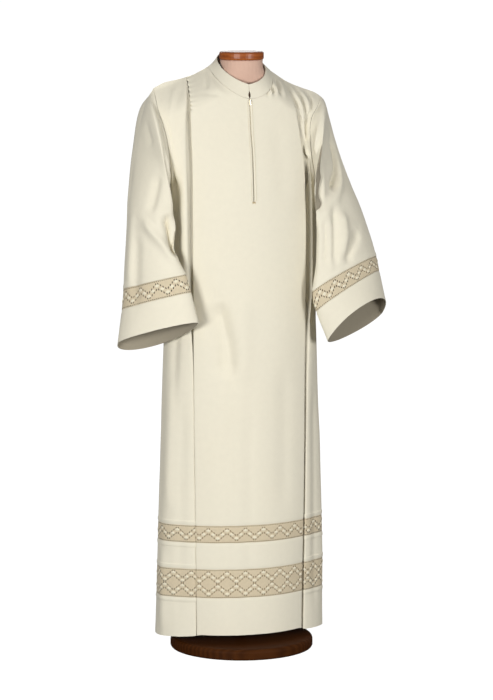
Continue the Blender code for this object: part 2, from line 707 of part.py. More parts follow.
def make_pull(pivot_y, parts):
    """The zip's pull tab, which hangs from its bar; its origin is on the bar's axis."""
    outline = bpy.data.curves.new("zip_pull_tab", "CURVE")
    outline.dimensions = "2D"
    outline.fill_mode = "BOTH"
    outline.extrude = PULL_THICK / 2
    wide, tall = PULL_WINDOW
    rounded_outline(outline, PULL_WIDTH / 2, PULL_BAR / 2 - PULL_LENGTH, PULL_BAR / 2, 0.0009)
    rounded_outline(outline, wide / 2, -PULL_BAR / 2 - tall, -PULL_BAR / 2, 0.0004)
    outline.materials.append(material("zip_pull_tab", *FINISHES["zip_metal"]))
    tab = bpy.data.objects.new("zip_pull_tab", outline)
    parts.objects.link(tab)
    tab.rotation_euler = (math.pi / 2, 0, 0)
    tab.location = (0, pivot_y, SLIDER_Z)


def main():
    clear_scene()
    parts, cutters = collection("alb_robe_on_dress_form"), collection("cutters")
    make_form(parts)
    make_middle(FRONT, "front", parts)
    make_middle(BACK, "back", parts)
    make_side(-1, "right", parts)
    make_side(1, "left", parts)
    make_collar(parts)
    make_zip(parts, cutters)


main()
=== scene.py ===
"""Alb robe on a limbless dress form: its cloth, lace, stitches, finishes and a plain studio."""

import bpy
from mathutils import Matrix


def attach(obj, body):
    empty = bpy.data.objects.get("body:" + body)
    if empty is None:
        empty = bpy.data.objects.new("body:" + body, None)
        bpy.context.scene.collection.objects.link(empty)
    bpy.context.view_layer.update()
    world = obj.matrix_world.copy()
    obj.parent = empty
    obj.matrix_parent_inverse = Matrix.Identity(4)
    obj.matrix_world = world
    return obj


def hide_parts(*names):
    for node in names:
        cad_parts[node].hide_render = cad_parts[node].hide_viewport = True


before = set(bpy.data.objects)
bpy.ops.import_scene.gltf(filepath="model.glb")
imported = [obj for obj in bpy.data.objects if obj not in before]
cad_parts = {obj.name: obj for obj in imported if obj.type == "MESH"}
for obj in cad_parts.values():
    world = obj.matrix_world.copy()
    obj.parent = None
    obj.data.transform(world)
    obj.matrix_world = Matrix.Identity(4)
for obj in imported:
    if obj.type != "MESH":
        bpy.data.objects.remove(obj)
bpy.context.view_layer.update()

import math

import bpy
import numpy as np
from mathutils import Vector, noise
from mathutils.bvhtree import BVHTree

bl_info = {
    "name": "Alb robe on a dress form",
    "version": (1, 0, 0),
    "blender": (4, 5, 0),
    "location": "3D View > Sidebar > Robe",
    "description": "Builds the robe's cloth, lace, stitches and finishes around its solid model",
    "category": "Add Mesh",
}

# ------------------------------------------------------- sizes shared with the solid model
GAP = 0.0003              # left between two pieces that meet
SEAM_Y = 0.018            # the shoulder and side seams run at this depth
TOP_Z = 1.59              # the height at which the top row reads the tables
UNDERARM_Z = 1.28
SHOULDER_DROP = 0.085     # height over which the shoulder rounds into the front
NECK_HALF = 0.089
NECK_FRONT_Z = 1.527
NECK_SIDE_Z = 1.604
NECK_BACK_Z = 1.612
SHOULDER = ((NECK_HALF, NECK_SIDE_Z), (0.133, 1.579), (0.180, 1.563), (0.220, 1.551), (0.250, 1.532))
TILT = 0.080              # the right shoulder stands a little higher than the left
ZIP_BOTTOM_Z = 1.250
ZIP_SLIT = 0.0010         # half width of the opening that the zip fills
BANDS = (("upper_lace", 0.3605), ("skirt_band", 0.3125), ("lower_lace", 0.2385), ("hem_band", 0.1585))
HEM_FRONT_Z = 0.054
HEM_SIDE_Z = 0.044
SECTIONS = (
    # z,     side,  front_mid, front_edge, back_edge, back_mid
    (1.640, 0.240, -0.068, -0.050, 0.066, 0.078),
    (1.520, 0.236, -0.073, -0.055, 0.088, 0.100),
    (1.440, 0.215, -0.084, -0.062, 0.100, 0.118),
    (1.370, 0.207, -0.099, -0.069, 0.104, 0.126),
    (1.280, 0.206, -0.108, -0.071, 0.103, 0.126),
    (1.160, 0.206, -0.111, -0.071, 0.099, 0.121),
    (1.000, 0.209, -0.113, -0.072, 0.098, 0.121),
    (0.850, 0.217, -0.115, -0.073, 0.101, 0.126),
    (0.600, 0.226, -0.116, -0.074, 0.105, 0.131),
    (0.360, 0.234, -0.117, -0.074, 0.108, 0.134),
    (0.040, 0.241, -0.118, -0.073, 0.111, 0.136),
)
PLEATS = (
    # z,     front_right, front_left, back
    (1.590, 0.152, 0.122, 0.138),
    (1.500, 0.161, 0.138, 0.150),
    (1.430, 0.161, 0.147, 0.154),
    (1.330, 0.160, 0.157, 0.158),
    (0.700, 0.158, 0.158, 0.158),
    (0.040, 0.151, 0.151, 0.152),
)
ARMHOLES = {
    # z, front_x, front_y, back_x, back_y
    -1: ((1.553, 0.244, SEAM_Y, 0.244, SEAM_Y), (1.500, 0.243, -0.020, 0.238, 0.066),
         (1.450, 0.232, -0.040, 0.226, 0.088), (1.400, 0.2235, -0.050, 0.219, 0.092),
         (1.340, 0.216, -0.046, 0.212, 0.082), (1.300, 0.209, -0.022, 0.208, 0.054),
         (UNDERARM_Z, 0.206, SEAM_Y, 0.206, SEAM_Y)),
    1: ((1.527, 0.236, SEAM_Y, 0.236, SEAM_Y), (1.500, 0.214, -0.016, 0.226, 0.060),
        (1.470, 0.190, -0.036, 0.220, 0.078), (1.420, 0.180, -0.052, 0.214, 0.090),
        (1.350, 0.186, -0.056, 0.209, 0.084), (1.300, 0.199, -0.028, 0.207, 0.054),
        (UNDERARM_Z, 0.206, SEAM_Y, 0.206, SEAM_Y)),
}
SLEEVES = {
    # outer edge, inner edge, reach of the front, reach of the back
    -1: (((-0.268, 0.022, 1.512), (-0.218, -0.016, 1.258), (-0.008, -0.084, 0.020), (-0.015, 0.086, 0.000)),
         ((-0.2935, 0.020, 1.400), (-0.221, -0.062, 1.235), (0.006, -0.064, 0.004), (-0.012, 0.076, 0.000)),
         ((-0.310, 0.018, 1.277), (-0.215, -0.088, 1.196), (-0.022, -0.038, 0.000), (-0.015, 0.060, 0.000)),
         ((-0.320, 0.010, 1.190), (-0.213, -0.097, 1.135), (-0.025, -0.034, 0.002), (-0.010, 0.058, -0.005)),
         ((-0.331, -0.002, 1.100), (-0.207, -0.104, 1.090), (-0.022, -0.034, 0.004), (-0.008, 0.060, -0.016)),
         ((-0.3375, -0.006, 1.014), (-0.195, -0.116, 1.060), (-0.022, -0.036, 0.004), (-0.006, 0.062, -0.030)),
         ((-0.345, -0.012, 0.958), (-0.183, -0.126, 1.012), (-0.022, -0.037, 0.006), (-0.004, 0.064, -0.034)),
         ((-0.360, -0.020, 0.867), (-0.167, -0.140, 0.930), (-0.022, -0.038, 0.013), (0.000, 0.068, -0.046))),
    1: (((0.252, 0.024, 1.500), (0.214, -0.012, 1.262), (-0.030, -0.090, 0.020), (0.015, 0.084, 0.000)),
        ((0.282, 0.030, 1.405), (0.200, -0.072, 1.238), (-0.052, -0.070, 0.010), (0.016, 0.074, 0.000)),
        ((0.312, 0.024, 1.315), (0.186, -0.094, 1.195), (-0.030, -0.045, 0.010), (0.020, 0.056, 0.000)),
        ((0.345, 0.009, 1.225), (0.182, -0.103, 1.145), (-0.006, -0.048, 0.020), (0.020, 0.055, -0.005)),
        ((0.370, -0.003, 1.140), (0.1765, -0.112, 1.075), (0.006, -0.045, 0.028), (0.020, 0.055, -0.015)),
        ((0.387, -0.010, 1.072), (0.164, -0.120, 1.000), (0.014, -0.045, 0.030), (0.015, 0.055, -0.025)),
        ((0.392, -0.018, 1.030), (0.174, -0.125, 0.946), (0.018, -0.045, 0.035), (0.012, 0.055, -0.022)),
        ((0.412, -0.010, 0.922), (0.206, -0.130, 0.866), (0.020, -0.052, 0.072), (0.010, 0.058, -0.030))),
}
SLEEVE_LACE_AT = 6        # the section where a sleeve's lace starts; the cuff starts one on
ARMHOLE_GAP = 0.0009
UNDERLAP = 0.026          # how far a side panel runs on behind the pleat's edge
PLEAT_DEPTH = 0.014       # how deep it lies there
RIM_HALF = 0.0665         # half width of the collar's rim
RIM_FRONT_Y = -0.0640
RIM_BACK_Y = 0.0680
RIM_FRONT_Z = 1.566
RIM_BACK_Z = 1.642
RIM_CROWN = 0.013

# ------------------------------------------------------------- sizes of the finer shapes
UPPER_ROWS = 78           # rows from the shoulder to the underarm
ROW_STEP = 0.005          # height of a row below it
TUCK = 0.012              # width of the turning sewn down along a lace band
SIDE_STEPS = 13           # columns between two key lines of a side panel
SLEEVE_STEPS = 18         # rings between two key rings of a sleeve
ROLL = 0.0030             # radius of a pleat's folded edge
ROLL_BACK = 0.010         # length of cloth that runs back behind it
SEAM_DIP = 0.0009         # how deep a seam sinks, and how far from it the cloth is level again
SEAM_REACH = 0.0035
BODY = "robe_and_form"
COLLAR_WALL = 0.0020
LACE_HEIGHTS = {False: 0.048, True: 0.080}   # of a single and of a mirrored lace band
LADDER_INSET = 0.0024     # how far the ladder stitch lies inside the lace's edge
UPPER_HEIGHT = 0.31       # from the shoulder to the underarm, about
PUCKER_LENGTH = 0.100     # how far down the right pleat is puckered
PUCKER_STEP = 0.0125
STITCH_TOP_Z = 1.520      # stitching beside the zip: its top, its place and its length
STITCH_X = 0.0066
STITCH_STEP = 0.0033
TEETH_TOP_Z = 1.513
TOOTH_STEP = 0.0016
LIGHTS = (
    # name, azimuth, rise, distance, size, power
    ("key", -42.0, 5.0, 4.6, 1.2, 128.0),
    ("fill", 24.0, 6.0, 4.8, 1.2, 104.0),
    ("rear", 165.0, 20.0, 4.6, 2.4, 30.0),
)
CAMERA_AWAY = 9.0
CAMERA_Z = 2.1

# How wide the open valley beside a front pleat is, and how deep its far lip lies.
VALLEYS = {
    # z, width, lip's share of the depth
    -1: ((1.59, 0.010, 0.30), (1.48, 0.018, 0.30), (1.30, 0.021, 0.22), (1.05, 0.020, 0.20),
         (0.95, 0.013, 0.24), (0.84, 0.006, 0.30), (0.05, 0.005, 0.30)),
    1: ((1.59, 0.012, 0.40), (1.40, 0.022, 0.40), (1.00, 0.022, 0.40), (0.80, 0.014, 0.36),
        (0.05, 0.012, 0.36)),
}

# Folds laid one by one: depth (out is +), width on each side of the line, line through x, y, z.
FRONT_FOLDS = (
    (-0.0036, 0.004, 0.007, ((-0.102, 0.016, 1.606), (-0.106, -0.014, 1.585), (-0.114, -0.046, 1.548))),
    (-0.0026, 0.006, 0.010, ((-0.092, -0.004, 1.598), (-0.078, -0.040, 1.566), (-0.050, -0.070, 1.540))),
    (-0.0026, 0.010, 0.006, ((-0.148, -0.046, 1.548), (-0.110, -0.060, 1.542), (-0.070, -0.070, 1.536))),
    (-0.0052, 0.0035, 0.0035, ((0.060, -0.038, 1.582), (0.056, -0.054, 1.562), (0.054, -0.070, 1.530))),
    (0.0050, 0.0040, 0.0040, ((0.069, -0.034, 1.582), (0.064, -0.052, 1.558), (0.063, -0.068, 1.530))),
    (-0.0062, 0.0035, 0.0045, ((0.077, -0.018, 1.592), (0.072, -0.044, 1.564), (0.074, -0.062, 1.530))),
    (0.0050, 0.0045, 0.0045, ((0.088, -0.012, 1.588), (0.082, -0.040, 1.560), (0.084, -0.058, 1.530))),
    (-0.0064, 0.0050, 0.0060, ((0.101, 0.004, 1.580), (0.096, -0.028, 1.560), (0.094, -0.054, 1.530))),
    (0.0040, 0.0060, 0.0070, ((0.116, 0.006, 1.574), (0.110, -0.026, 1.550), (0.107, -0.050, 1.524))),
    (-0.0170, 0.020, 0.036, ((-0.100, -0.100, 0.985), (-0.088, -0.103, 0.925), (-0.072, -0.107, 0.850),
                             (-0.066, -0.108, 0.760))),
    (0.0040, 0.026, 0.030, ((-0.035, -0.112, 1.020), (-0.030, -0.113, 0.900), (-0.040, -0.114, 0.740))),
    (-0.0034, 0.016, 0.022, ((-0.073, -0.108, 0.700), (-0.071, -0.109, 0.560), (-0.072, -0.109, 0.400),
                             (-0.074, -0.109, 0.250), (-0.074, -0.109, 0.060))),
    (-0.0026, 0.015, 0.020, ((-0.012, -0.115, 0.740), (-0.014, -0.116, 0.560), (-0.013, -0.116, 0.380),
                             (-0.016, -0.117, 0.220), (-0.014, -0.117, 0.055))),
    (-0.0030, 0.022, 0.028, ((0.088, -0.104, 0.820), (0.092, -0.105, 0.600), (0.090, -0.106, 0.360))),
    (-0.0024, 0.030, 0.030, ((0.085, -0.070, 1.470), (0.080, -0.092, 1.380), (0.090, -0.096, 1.240))),
    (-0.0020, 0.030, 0.030, ((-0.090, -0.072, 1.470), (-0.086, -0.092, 1.360), (-0.092, -0.096, 1.200))),
)
BACK_FOLDS = (
    (-0.0034, 0.006, 0.007, ((0.050, 0.058, 1.600), (0.047, 0.078, 1.570), (0.044, 0.088, 1.530))),
    (-0.0036, 0.006, 0.008, ((-0.058, 0.052, 1.602), (-0.060, 0.074, 1.568), (-0.057, 0.086, 1.522))),
    (-0.0026, 0.006, 0.008, ((-0.100, 0.020, 1.604), (-0.104, 0.052, 1.580), (-0.102, 0.074, 1.540))),
    (-0.0070, 0.026, 0.034, ((-0.070, 0.110, 1.360), (-0.058, 0.114, 1.120), (-0.066, 0.114, 0.850),
                             (-0.060, 0.120, 0.500), (-0.062, 0.122, 0.180))),
    (-0.0060, 0.024, 0.030, ((0.052, 0.114, 1.300), (0.060, 0.112, 1.050), (0.052, 0.116, 0.760),
                             (0.058, 0.122, 0.420), (0.056, 0.124, 0.100))),
    (0.0046, 0.024, 0.028, ((0.004, 0.124, 1.180), (-0.004, 0.122, 0.900), (0.002, 0.128, 0.560))),
    (-0.0040, 0.030, 0.030, ((-0.110, 0.100, 1.480), (-0.094, 0.108, 1.400), (-0.080, 0.112, 1.300))),
)
SIDE_FOLDS = {
    -1: ((0.0040, 0.012, 0.010, ((-0.190, -0.058, 1.360), (-0.186, -0.062, 1.240), (-0.182, -0.062, 1.080),
                                 (-0.176, -0.062, 0.930))),
         (-0.0060, 0.012, 0.014, ((-0.205, -0.040, 1.400), (-0.203, -0.044, 1.200), (-0.204, -0.044, 0.960),
                                  (-0.208, -0.036, 0.700))),
         (-0.0040, 0.008, 0.010, ((-0.170, 0.004, 1.562), (-0.184, -0.024, 1.522), (-0.198, -0.036, 1.470),
                                  (-0.202, -0.042, 1.410))),
         (0.0036, 0.006, 0.008, ((-0.186, 0.006, 1.558), (-0.202, -0.022, 1.520), (-0.214, -0.036, 1.476))),
         (-0.0120, 0.007, 0.008, ((-0.240, -0.022, 1.490), (-0.229, -0.040, 1.450), (-0.219, -0.046, 1.400),
                                  (-0.212, -0.044, 1.340), (-0.206, -0.036, 1.270), (-0.204, -0.034, 1.180))),
         (0.0046, 0.016, 0.016, ((-0.216, -0.030, 0.780), (-0.222, -0.026, 0.560), (-0.224, -0.024, 0.380))),
         (-0.0050, 0.016, 0.018, ((-0.190, -0.064, 0.760), (-0.194, -0.062, 0.560), (-0.198, -0.062, 0.300),
                                  (-0.200, -0.060, 0.060))),
         (0.0040, 0.018, 0.018, ((-0.232, -0.010, 0.300), (-0.236, -0.012, 0.180), (-0.238, -0.012, 0.050))),
         (-0.0070, 0.018, 0.020, ((-0.222, 0.050, 1.060), (-0.226, 0.054, 0.760), (-0.234, 0.056, 0.400),
                                  (-0.236, 0.058, 0.080))),
         (-0.0060, 0.018, 0.020, ((-0.188, 0.086, 1.180), (-0.190, 0.090, 0.860), (-0.196, 0.096, 0.480),
                                  (-0.200, 0.100, 0.120)))),
    1: ((-0.0090, 0.005, 0.006, ((0.132, 0.008, 1.568), (0.140, -0.022, 1.538), (0.150, -0.040, 1.500),
                                 (0.156, -0.050, 1.450))),
        (0.0060, 0.006, 0.006, ((0.145, 0.010, 1.562), (0.152, -0.018, 1.532), (0.160, -0.036, 1.494),
                                (0.164, -0.046, 1.455))),
        (-0.0085, 0.005, 0.007, ((0.160, 0.008, 1.560), (0.166, -0.016, 1.528), (0.172, -0.036, 1.488),
                                 (0.172, -0.048, 1.440))),
        (0.0050, 0.006, 0.007, ((0.176, 0.006, 1.552), (0.182, -0.014, 1.520), (0.184, -0.032, 1.486))),
        (-0.0060, 0.005, 0.006, ((0.194, 0.008, 1.546), (0.198, -0.010, 1.516), (0.194, -0.030, 1.486))),
        (-0.0240, 0.011, 0.013, ((0.202, -0.026, 1.486), (0.186, -0.046, 1.455), (0.176, -0.054, 1.410),
                                 (0.170, -0.058, 1.350))),
        (-0.0260, 0.020, 0.022, ((0.174, -0.058, 1.370), (0.180, -0.056, 1.250), (0.182, -0.056, 1.100),
                                 (0.184, -0.056, 0.980), (0.188, -0.054, 0.880))),
        (0.0240, 0.036, 0.036, ((0.206, 0.030, 1.330), (0.208, 0.030, 1.180), (0.212, 0.030, 1.020),
                                (0.216, 0.030, 0.900))),
        (-0.0050, 0.014, 0.016, ((0.196, -0.050, 0.780), (0.198, -0.054, 0.520), (0.202, -0.056, 0.260),
                                 (0.206, -0.056, 0.060))),
        (0.0040, 0.016, 0.016, ((0.224, -0.024, 0.700), (0.228, -0.024, 0.440), (0.234, -0.022, 0.120))),
        (-0.0070, 0.018, 0.020, ((0.224, 0.050, 1.040), (0.226, 0.054, 0.740), (0.232, 0.056, 0.420),
                                 (0.238, 0.056, 0.070))),
        (-0.0060, 0.018, 0.020, ((0.190, 0.086, 1.160), (0.192, 0.090, 0.800), (0.196, 0.098, 0.440),
                                 (0.202, 0.100, 0.110)))),
}
SLEEVE_FOLDS = {
    -1: ((-0.0110, 0.006, 0.005, ((-0.252, -0.014, 1.520), (-0.247, -0.030, 1.490), (-0.242, -0.048, 1.455),
                                  (-0.238, -0.062, 1.415), (-0.234, -0.070, 1.370))),
         (0.0080, 0.008, 0.006, ((-0.260, -0.020, 1.505), (-0.252, -0.046, 1.455), (-0.244, -0.064, 1.405),
                                 (-0.236, -0.076, 1.340), (-0.228, -0.084, 1.280))),
         (-0.0050, 0.010, 0.012, ((-0.284, -0.018, 1.470), (-0.280, -0.034, 1.440), (-0.270, -0.050, 1.400))),
         (0.0090, 0.010, 0.014, ((-0.304, -0.060, 1.215), (-0.284, -0.082, 1.180), (-0.258, -0.100, 1.148),
                                 (-0.230, -0.110, 1.108), (-0.205, -0.112, 1.080))),
         (-0.0260, 0.015, 0.015, ((-0.246, -0.090, 1.225), (-0.236, -0.100, 1.185), (-0.226, -0.104, 1.145),
                                  (-0.212, -0.108, 1.105))),
         (0.0050, 0.012, 0.016, ((-0.322, -0.030, 1.240), (-0.328, -0.036, 1.160), (-0.334, -0.042, 1.080),
                                 (-0.338, -0.044, 1.010))),
         (-0.0060, 0.014, 0.018, ((-0.310, -0.050, 1.170), (-0.314, -0.058, 1.100), (-0.318, -0.064, 1.020),
                                  (-0.322, -0.070, 0.960))),
         (-0.0060, 0.010, 0.016, ((-0.262, -0.082, 1.330), (-0.270, -0.078, 1.270), (-0.282, -0.072, 1.220))),
         (-0.0060, 0.014, 0.016, ((-0.262, 0.084, 1.400), (-0.278, 0.078, 1.290), (-0.276, 0.062, 1.200))),
         (-0.0060, 0.016, 0.018, ((-0.250, 0.060, 1.190), (-0.272, 0.058, 1.120), (-0.290, 0.054, 1.030))),
         (0.0050, 0.014, 0.016, ((-0.300, 0.060, 1.280), (-0.304, 0.052, 1.180), (-0.312, 0.046, 1.080)))),
    1: ((0.0110, 0.006, 0.006, ((0.234, 0.000, 1.505), (0.222, -0.032, 1.475), (0.206, -0.056, 1.445),
                                (0.194, -0.070, 1.400), (0.184, -0.080, 1.340))),
        (-0.0120, 0.006, 0.006, ((0.222, -0.018, 1.490), (0.210, -0.046, 1.455), (0.198, -0.060, 1.410))),
        (0.0070, 0.010, 0.010, ((0.282, 0.006, 1.400), (0.290, 0.000, 1.360), (0.292, -0.012, 1.322),
                                (0.276, -0.036, 1.284), (0.250, -0.066, 1.244), (0.222, -0.094, 1.206))),
        (-0.0210, 0.008, 0.014, ((0.262, 0.004, 1.420), (0.272, 0.000, 1.385), (0.277, -0.006, 1.350),
                                 (0.275, -0.022, 1.318), (0.256, -0.048, 1.290), (0.234, -0.072, 1.268))),
        (0.0040, 0.010, 0.012, ((0.284, -0.018, 1.320), (0.264, -0.048, 1.282), (0.236, -0.078, 1.245),
                                (0.206, -0.104, 1.205), (0.188, -0.108, 1.160))),
        (-0.0130, 0.011, 0.012, ((0.206, -0.086, 1.330), (0.196, -0.094, 1.290), (0.190, -0.098, 1.250),
                                 (0.182, -0.098, 1.214))),
        (0.0050, 0.010, 0.012, ((0.226, -0.070, 1.370), (0.222, -0.078, 1.320), (0.212, -0.088, 1.280),
                                (0.202, -0.096, 1.246))),
        (-0.0090, 0.010, 0.012, ((0.240, -0.094, 1.235), (0.234, -0.108, 1.190), (0.231, -0.118, 1.130),
                                 (0.228, -0.126, 1.060))),
        (-0.0100, 0.012, 0.020, ((0.318, -0.076, 1.160), (0.300, -0.090, 1.134), (0.280, -0.106, 1.106),
                                 (0.262, -0.116, 1.070))),
        (0.0070, 0.014, 0.016, ((0.262, -0.090, 1.220), (0.264, -0.104, 1.150), (0.256, -0.118, 1.080))),
        (-0.0110, 0.010, 0.014, ((0.204, -0.106, 1.200), (0.204, -0.116, 1.140), (0.200, -0.124, 1.060))),
        (-0.0070, 0.014, 0.016, ((0.266, 0.092, 1.400), (0.286, 0.086, 1.310), (0.300, 0.068, 1.220))),
        (-0.0060, 0.016, 0.018, ((0.240, 0.060, 1.200), (0.276, 0.056, 1.130), (0.300, 0.048, 1.040))),
        (0.0050, 0.014, 0.016, ((0.318, 0.066, 1.270), (0.334, 0.054, 1.180), (0.348, 0.044, 1.090)))),
}


# ------------------------------------------------------------------- what a user may change
def colour(label, text, value):
    return bpy.props.FloatVectorProperty(name=label, description=text, subtype="COLOR", size=3,
                                         min=0.0, max=1.0, default=value)


def length(label, text, value):
    return bpy.props.FloatProperty(name=label, description=text, unit="LENGTH", precision=4,
                                   min=0.0, default=value)


class RobeColours(bpy.types.PropertyGroup):
    cloth: colour("Cloth", "Ivory of the plain cloth", (0.800, 0.745, 0.595))
    cloth_shade: colour("Cloth, cooler", "The cloth's cooler tone, in soft patches", (0.780, 0.735, 0.600))
    # Painted shade: this dark tone goes on the inner faces of the sleeves and cuffs, standing in for the shade
    # inside them.
    inside: colour("Sleeve inside", "Shaded tone of the cloth inside the sleeves", (0.330, 0.290, 0.215))
    lace: colour("Lace net", "Ecru of the lace's ground", (0.665, 0.565, 0.395))
    lace_thread: colour("Lace thread", "Cream of the worked ovals", (0.800, 0.735, 0.570))
    # Painted shade in the lace's holes: ochre for shaded cloth behind them, near black for the dark hollow
    # behind them.
    painted_ochre_hole_shade: colour("Lace hole, middle", "Ochre seen in a hole over the cloth beneath",
                      (0.115, 0.062, 0.016))
    painted_dark_hole_shadow: colour("Lace hole, sides", "Near black seen in a hole over the dark inside",
                      (0.003, 0.003, 0.005))
    stitch: colour("Sewing thread", "Thread of the stitches beside the zip", (0.560, 0.430, 0.220))
    jersey: colour("Form cover", "Pinkish jersey over the form's neck", (0.680, 0.450, 0.345))
    cap: colour("Neck cap", "Varnished orange-brown wood", (0.420, 0.115, 0.022))
    cap_dark: colour("Neck cap grain", "Darker grain of the cap", (0.200, 0.040, 0.006))
    base: colour("Base", "Dark brown wood", (0.072, 0.0215, 0.0040))
    base_dark: colour("Base grain", "Near black grain of the base", (0.030, 0.0082, 0.0016))


class RobeSizes(bpy.types.PropertyGroup):
    cloth_wall: length("Cloth", "Thickness of the plain cloth", 0.0015)
    lace_wall: length("Lace", "Thickness of the lace", 0.0012)
    unevenness: length("Unevenness", "Height of the cloth's slow waves", 0.0013)
    weave: length("Weave", "Distance from one thread of the weave to the next", 0.0009)


class RobeLace(bpy.types.PropertyGroup):
    period: length("Period", "Length of one zigzag", 0.0516)
    swing: length("Swing", "Half the height of one zigzag line", 0.0105)
    lines: length("Lines", "Half the distance between the two zigzag lines", 0.0073)
    hole_width: length("Hole width", "Half width of a hole across its line", 0.0028)
    hole_length: length("Hole length", "Half length of a hole along the band", 0.0015)
    oval_width: length("Oval width", "Half width of a worked oval", 0.0052)
    oval_height: length("Oval height", "Half height of a worked oval", 0.0040)
    ladder: length("Ladder", "Distance from one hole of the ladder stitch to the next", 0.0055)


# --------------------------------------------------------------------------- plain tools
def smooth(t):
    """0 to 1 with soft ends."""
    t = np.clip(t, 0.0, 1.0)
    return t * t * (3.0 - 2.0 * t)


def curve(rows, at, column):
    """A column of a table, read along a smooth line at any heights."""
    rows = sorted(rows)
    x = np.array([r[0] for r in rows])
    y = np.array([r[column] for r in rows])
    slope = np.diff(y) / np.diff(x)
    turn = np.concatenate([slope[:1], (slope[1:] + slope[:-1]) / 2, slope[-1:]])
    turn[1:-1][slope[1:] * slope[:-1] <= 0] = 0.0
    at = np.clip(at, x[0], x[-1])
    i = np.clip(np.searchsorted(x, at) - 1, 0, len(x) - 2)
    h = x[i + 1] - x[i]
    t = (at - x[i]) / h
    return ((1 + 2 * t) * (1 - t) ** 2 * y[i] + t * (1 - t) ** 2 * h * turn[i]
            + t * t * (3 - 2 * t) * y[i + 1] + t * t * (t - 1) * h * turn[i + 1])


def through(points, at):
    """Points at the given places (0 is the first) of a smooth line through rows of points."""
    p = np.array(points, float)
    p = np.concatenate([2 * p[:1] - p[1:2], p, 2 * p[-1:] - p[-2:-1]])
    out = []
    for t in at:
        i = min(int(t), len(points) - 2)
        f = t - i
        a, b, c, d = p[i:i + 4]
        out.append(0.5 * (2 * b + (c - a) * f + (2 * a - 5 * b + 4 * c - d) * f ** 2
                          + (3 * b - a - 3 * c + d) * f ** 3))
    return np.array(out)


def unit(v):
    return v / np.maximum(np.linalg.norm(v, axis=-1, keepdims=True), 1e-9)


def normals(grid, closed=False):
    """Outward directions on a grid whose rows run down and columns run to the right."""
    down = np.gradient(grid, axis=0)
    if closed:
        across = np.roll(grid, -1, axis=1) - np.roll(grid, 1, axis=1)
    else:
        across = np.gradient(grid, axis=1)
    return unit(np.cross(down, across))


def level_at_seams(grid, out):
    """On the shoulder and side seams both pieces get the same direction."""
    on_seam = np.abs(grid[:, :, 1] - SEAM_Y) < 1e-6
    out[on_seam, 1] = 0.0
    return unit(out)


# ------------------------------------------------------------------ shape of the body cloth
def shoulder_z(x, neck_rise):
    x = np.abs(x)
    over_neck = NECK_SIDE_Z + neck_rise * (1.0 - (np.minimum(x, NECK_HALF) / NECK_HALF) ** 2)
    return np.where(x < NECK_HALF, over_neck, curve(SHOULDER, x, 1))


def neckline_z(x, middle_z):
    u = np.minimum(1.0, np.abs(x) / NECK_HALF)
    return middle_z + (NECK_SIDE_Z - middle_z) * (1.0 - np.sqrt(1.0 - u * u)) ** 0.85


def lean(x, z):
    return -TILT * x * smooth((z - 1.25) / 0.25)


def hem_z(x):
    return HEM_FRONT_Z + (HEM_SIDE_Z - HEM_FRONT_Z) * smooth((np.abs(x) - 0.14) / 0.04)


class Face:
    """The front or the back of the body: its depth at any x and height."""

    def __init__(self, front):
        self.front = front
        self.mid = 2 if front else 5
        self.edge = 3 if front else 4
        self.rise = 0.016 if front else 0.050
        self.neck = NECK_FRONT_Z if front else NECK_BACK_Z

    def pleat(self, side, z):
        return curve(PLEATS, z, 3 if not self.front else (1 if side < 0 else 2))

    def flat_y(self, x, z, half):
        u = np.minimum(1.0, np.abs(x) / half)
        edge = curve(SECTIONS, z, self.edge)
        return edge + (curve(SECTIONS, z, self.mid) - edge) * (1.0 - u ** 2.2)

    def rounded(self, x, y, z):
        drop = (shoulder_z(x, self.rise) - z) / SHOULDER_DROP
        return SEAM_Y + (y - SEAM_Y) * np.sin(np.pi / 2 * np.clip(drop, 0.0, 1.0))

    def top(self, x):
        return np.where(np.abs(x) < NECK_HALF, neckline_z(x, self.neck), shoulder_z(x, self.rise))


FRONT, BACK = Face(True), Face(False)


def body_rows():
    """Rows from the shoulder to the hem, and the slice of them that each length of cloth has.

    A row is its table height and what its points' height is made of: a fixed part, a share
    of the top edge's height and a share of the hem's.
    """
    rows, parts = [], {}
    for a in np.linspace(0.0, 1.0, UPPER_ROWS + 1):
        rows.append((UNDERARM_Z + (TOP_Z - UNDERARM_Z) * (1 - a), UNDERARM_Z * a, 1 - a, 0.0))
    tops = [z for _, z in BANDS]
    edges = [UNDERARM_Z, ZIP_BOTTOM_Z, tops[0] + GAP / 2]
    heights = set()
    for high, low in zip(edges, edges[1:]):
        heights |= set(np.linspace(high, low, round((high - low) / ROW_STEP) + 1).tolist())
    heights |= {tops[0] + TUCK - 0.0006, tops[0] + TUCK + 0.0006}
    rows += [(z, z, 0.0, 0.0) for z in sorted(heights, reverse=True)[1:]]
    parts["panel"] = slice(0, len(rows))
    for (name, top), low in zip(BANDS, [*tops[1:], None]):
        start = len(rows)
        if low is None:
            steps = np.linspace(0.0, 1.0, 22).tolist() + [TUCK / (top - HEM_FRONT_Z)]
            rows += [(top + (HEM_FRONT_Z - top) * t, (top - GAP / 2) * (1 - t), 0.0, t)
                     for t in sorted(steps)]
        else:
            high, low = top - GAP / 2, low + GAP / 2
            heights = set(np.linspace(high, low, round((high - low) / 0.004) + 1).tolist())
            if name == "skirt_band":
                for z in (high - TUCK, low + TUCK):
                    heights |= {z - 0.0006, z + 0.0006}
            rows += [(z, z, 0.0, 0.0) for z in sorted(heights, reverse=True)]
        parts[name] = slice(start, len(rows))
    return np.array(rows), parts


ROWS, ROW_PARTS = body_rows()


def row_height(face, x):
    """Height of every row at x, which is one number or one a row and column."""
    _, fixed, of_top, of_hem = (c[:, None] for c in ROWS.T)
    return fixed + of_top * face.top(x) + of_hem * hem_z(x)


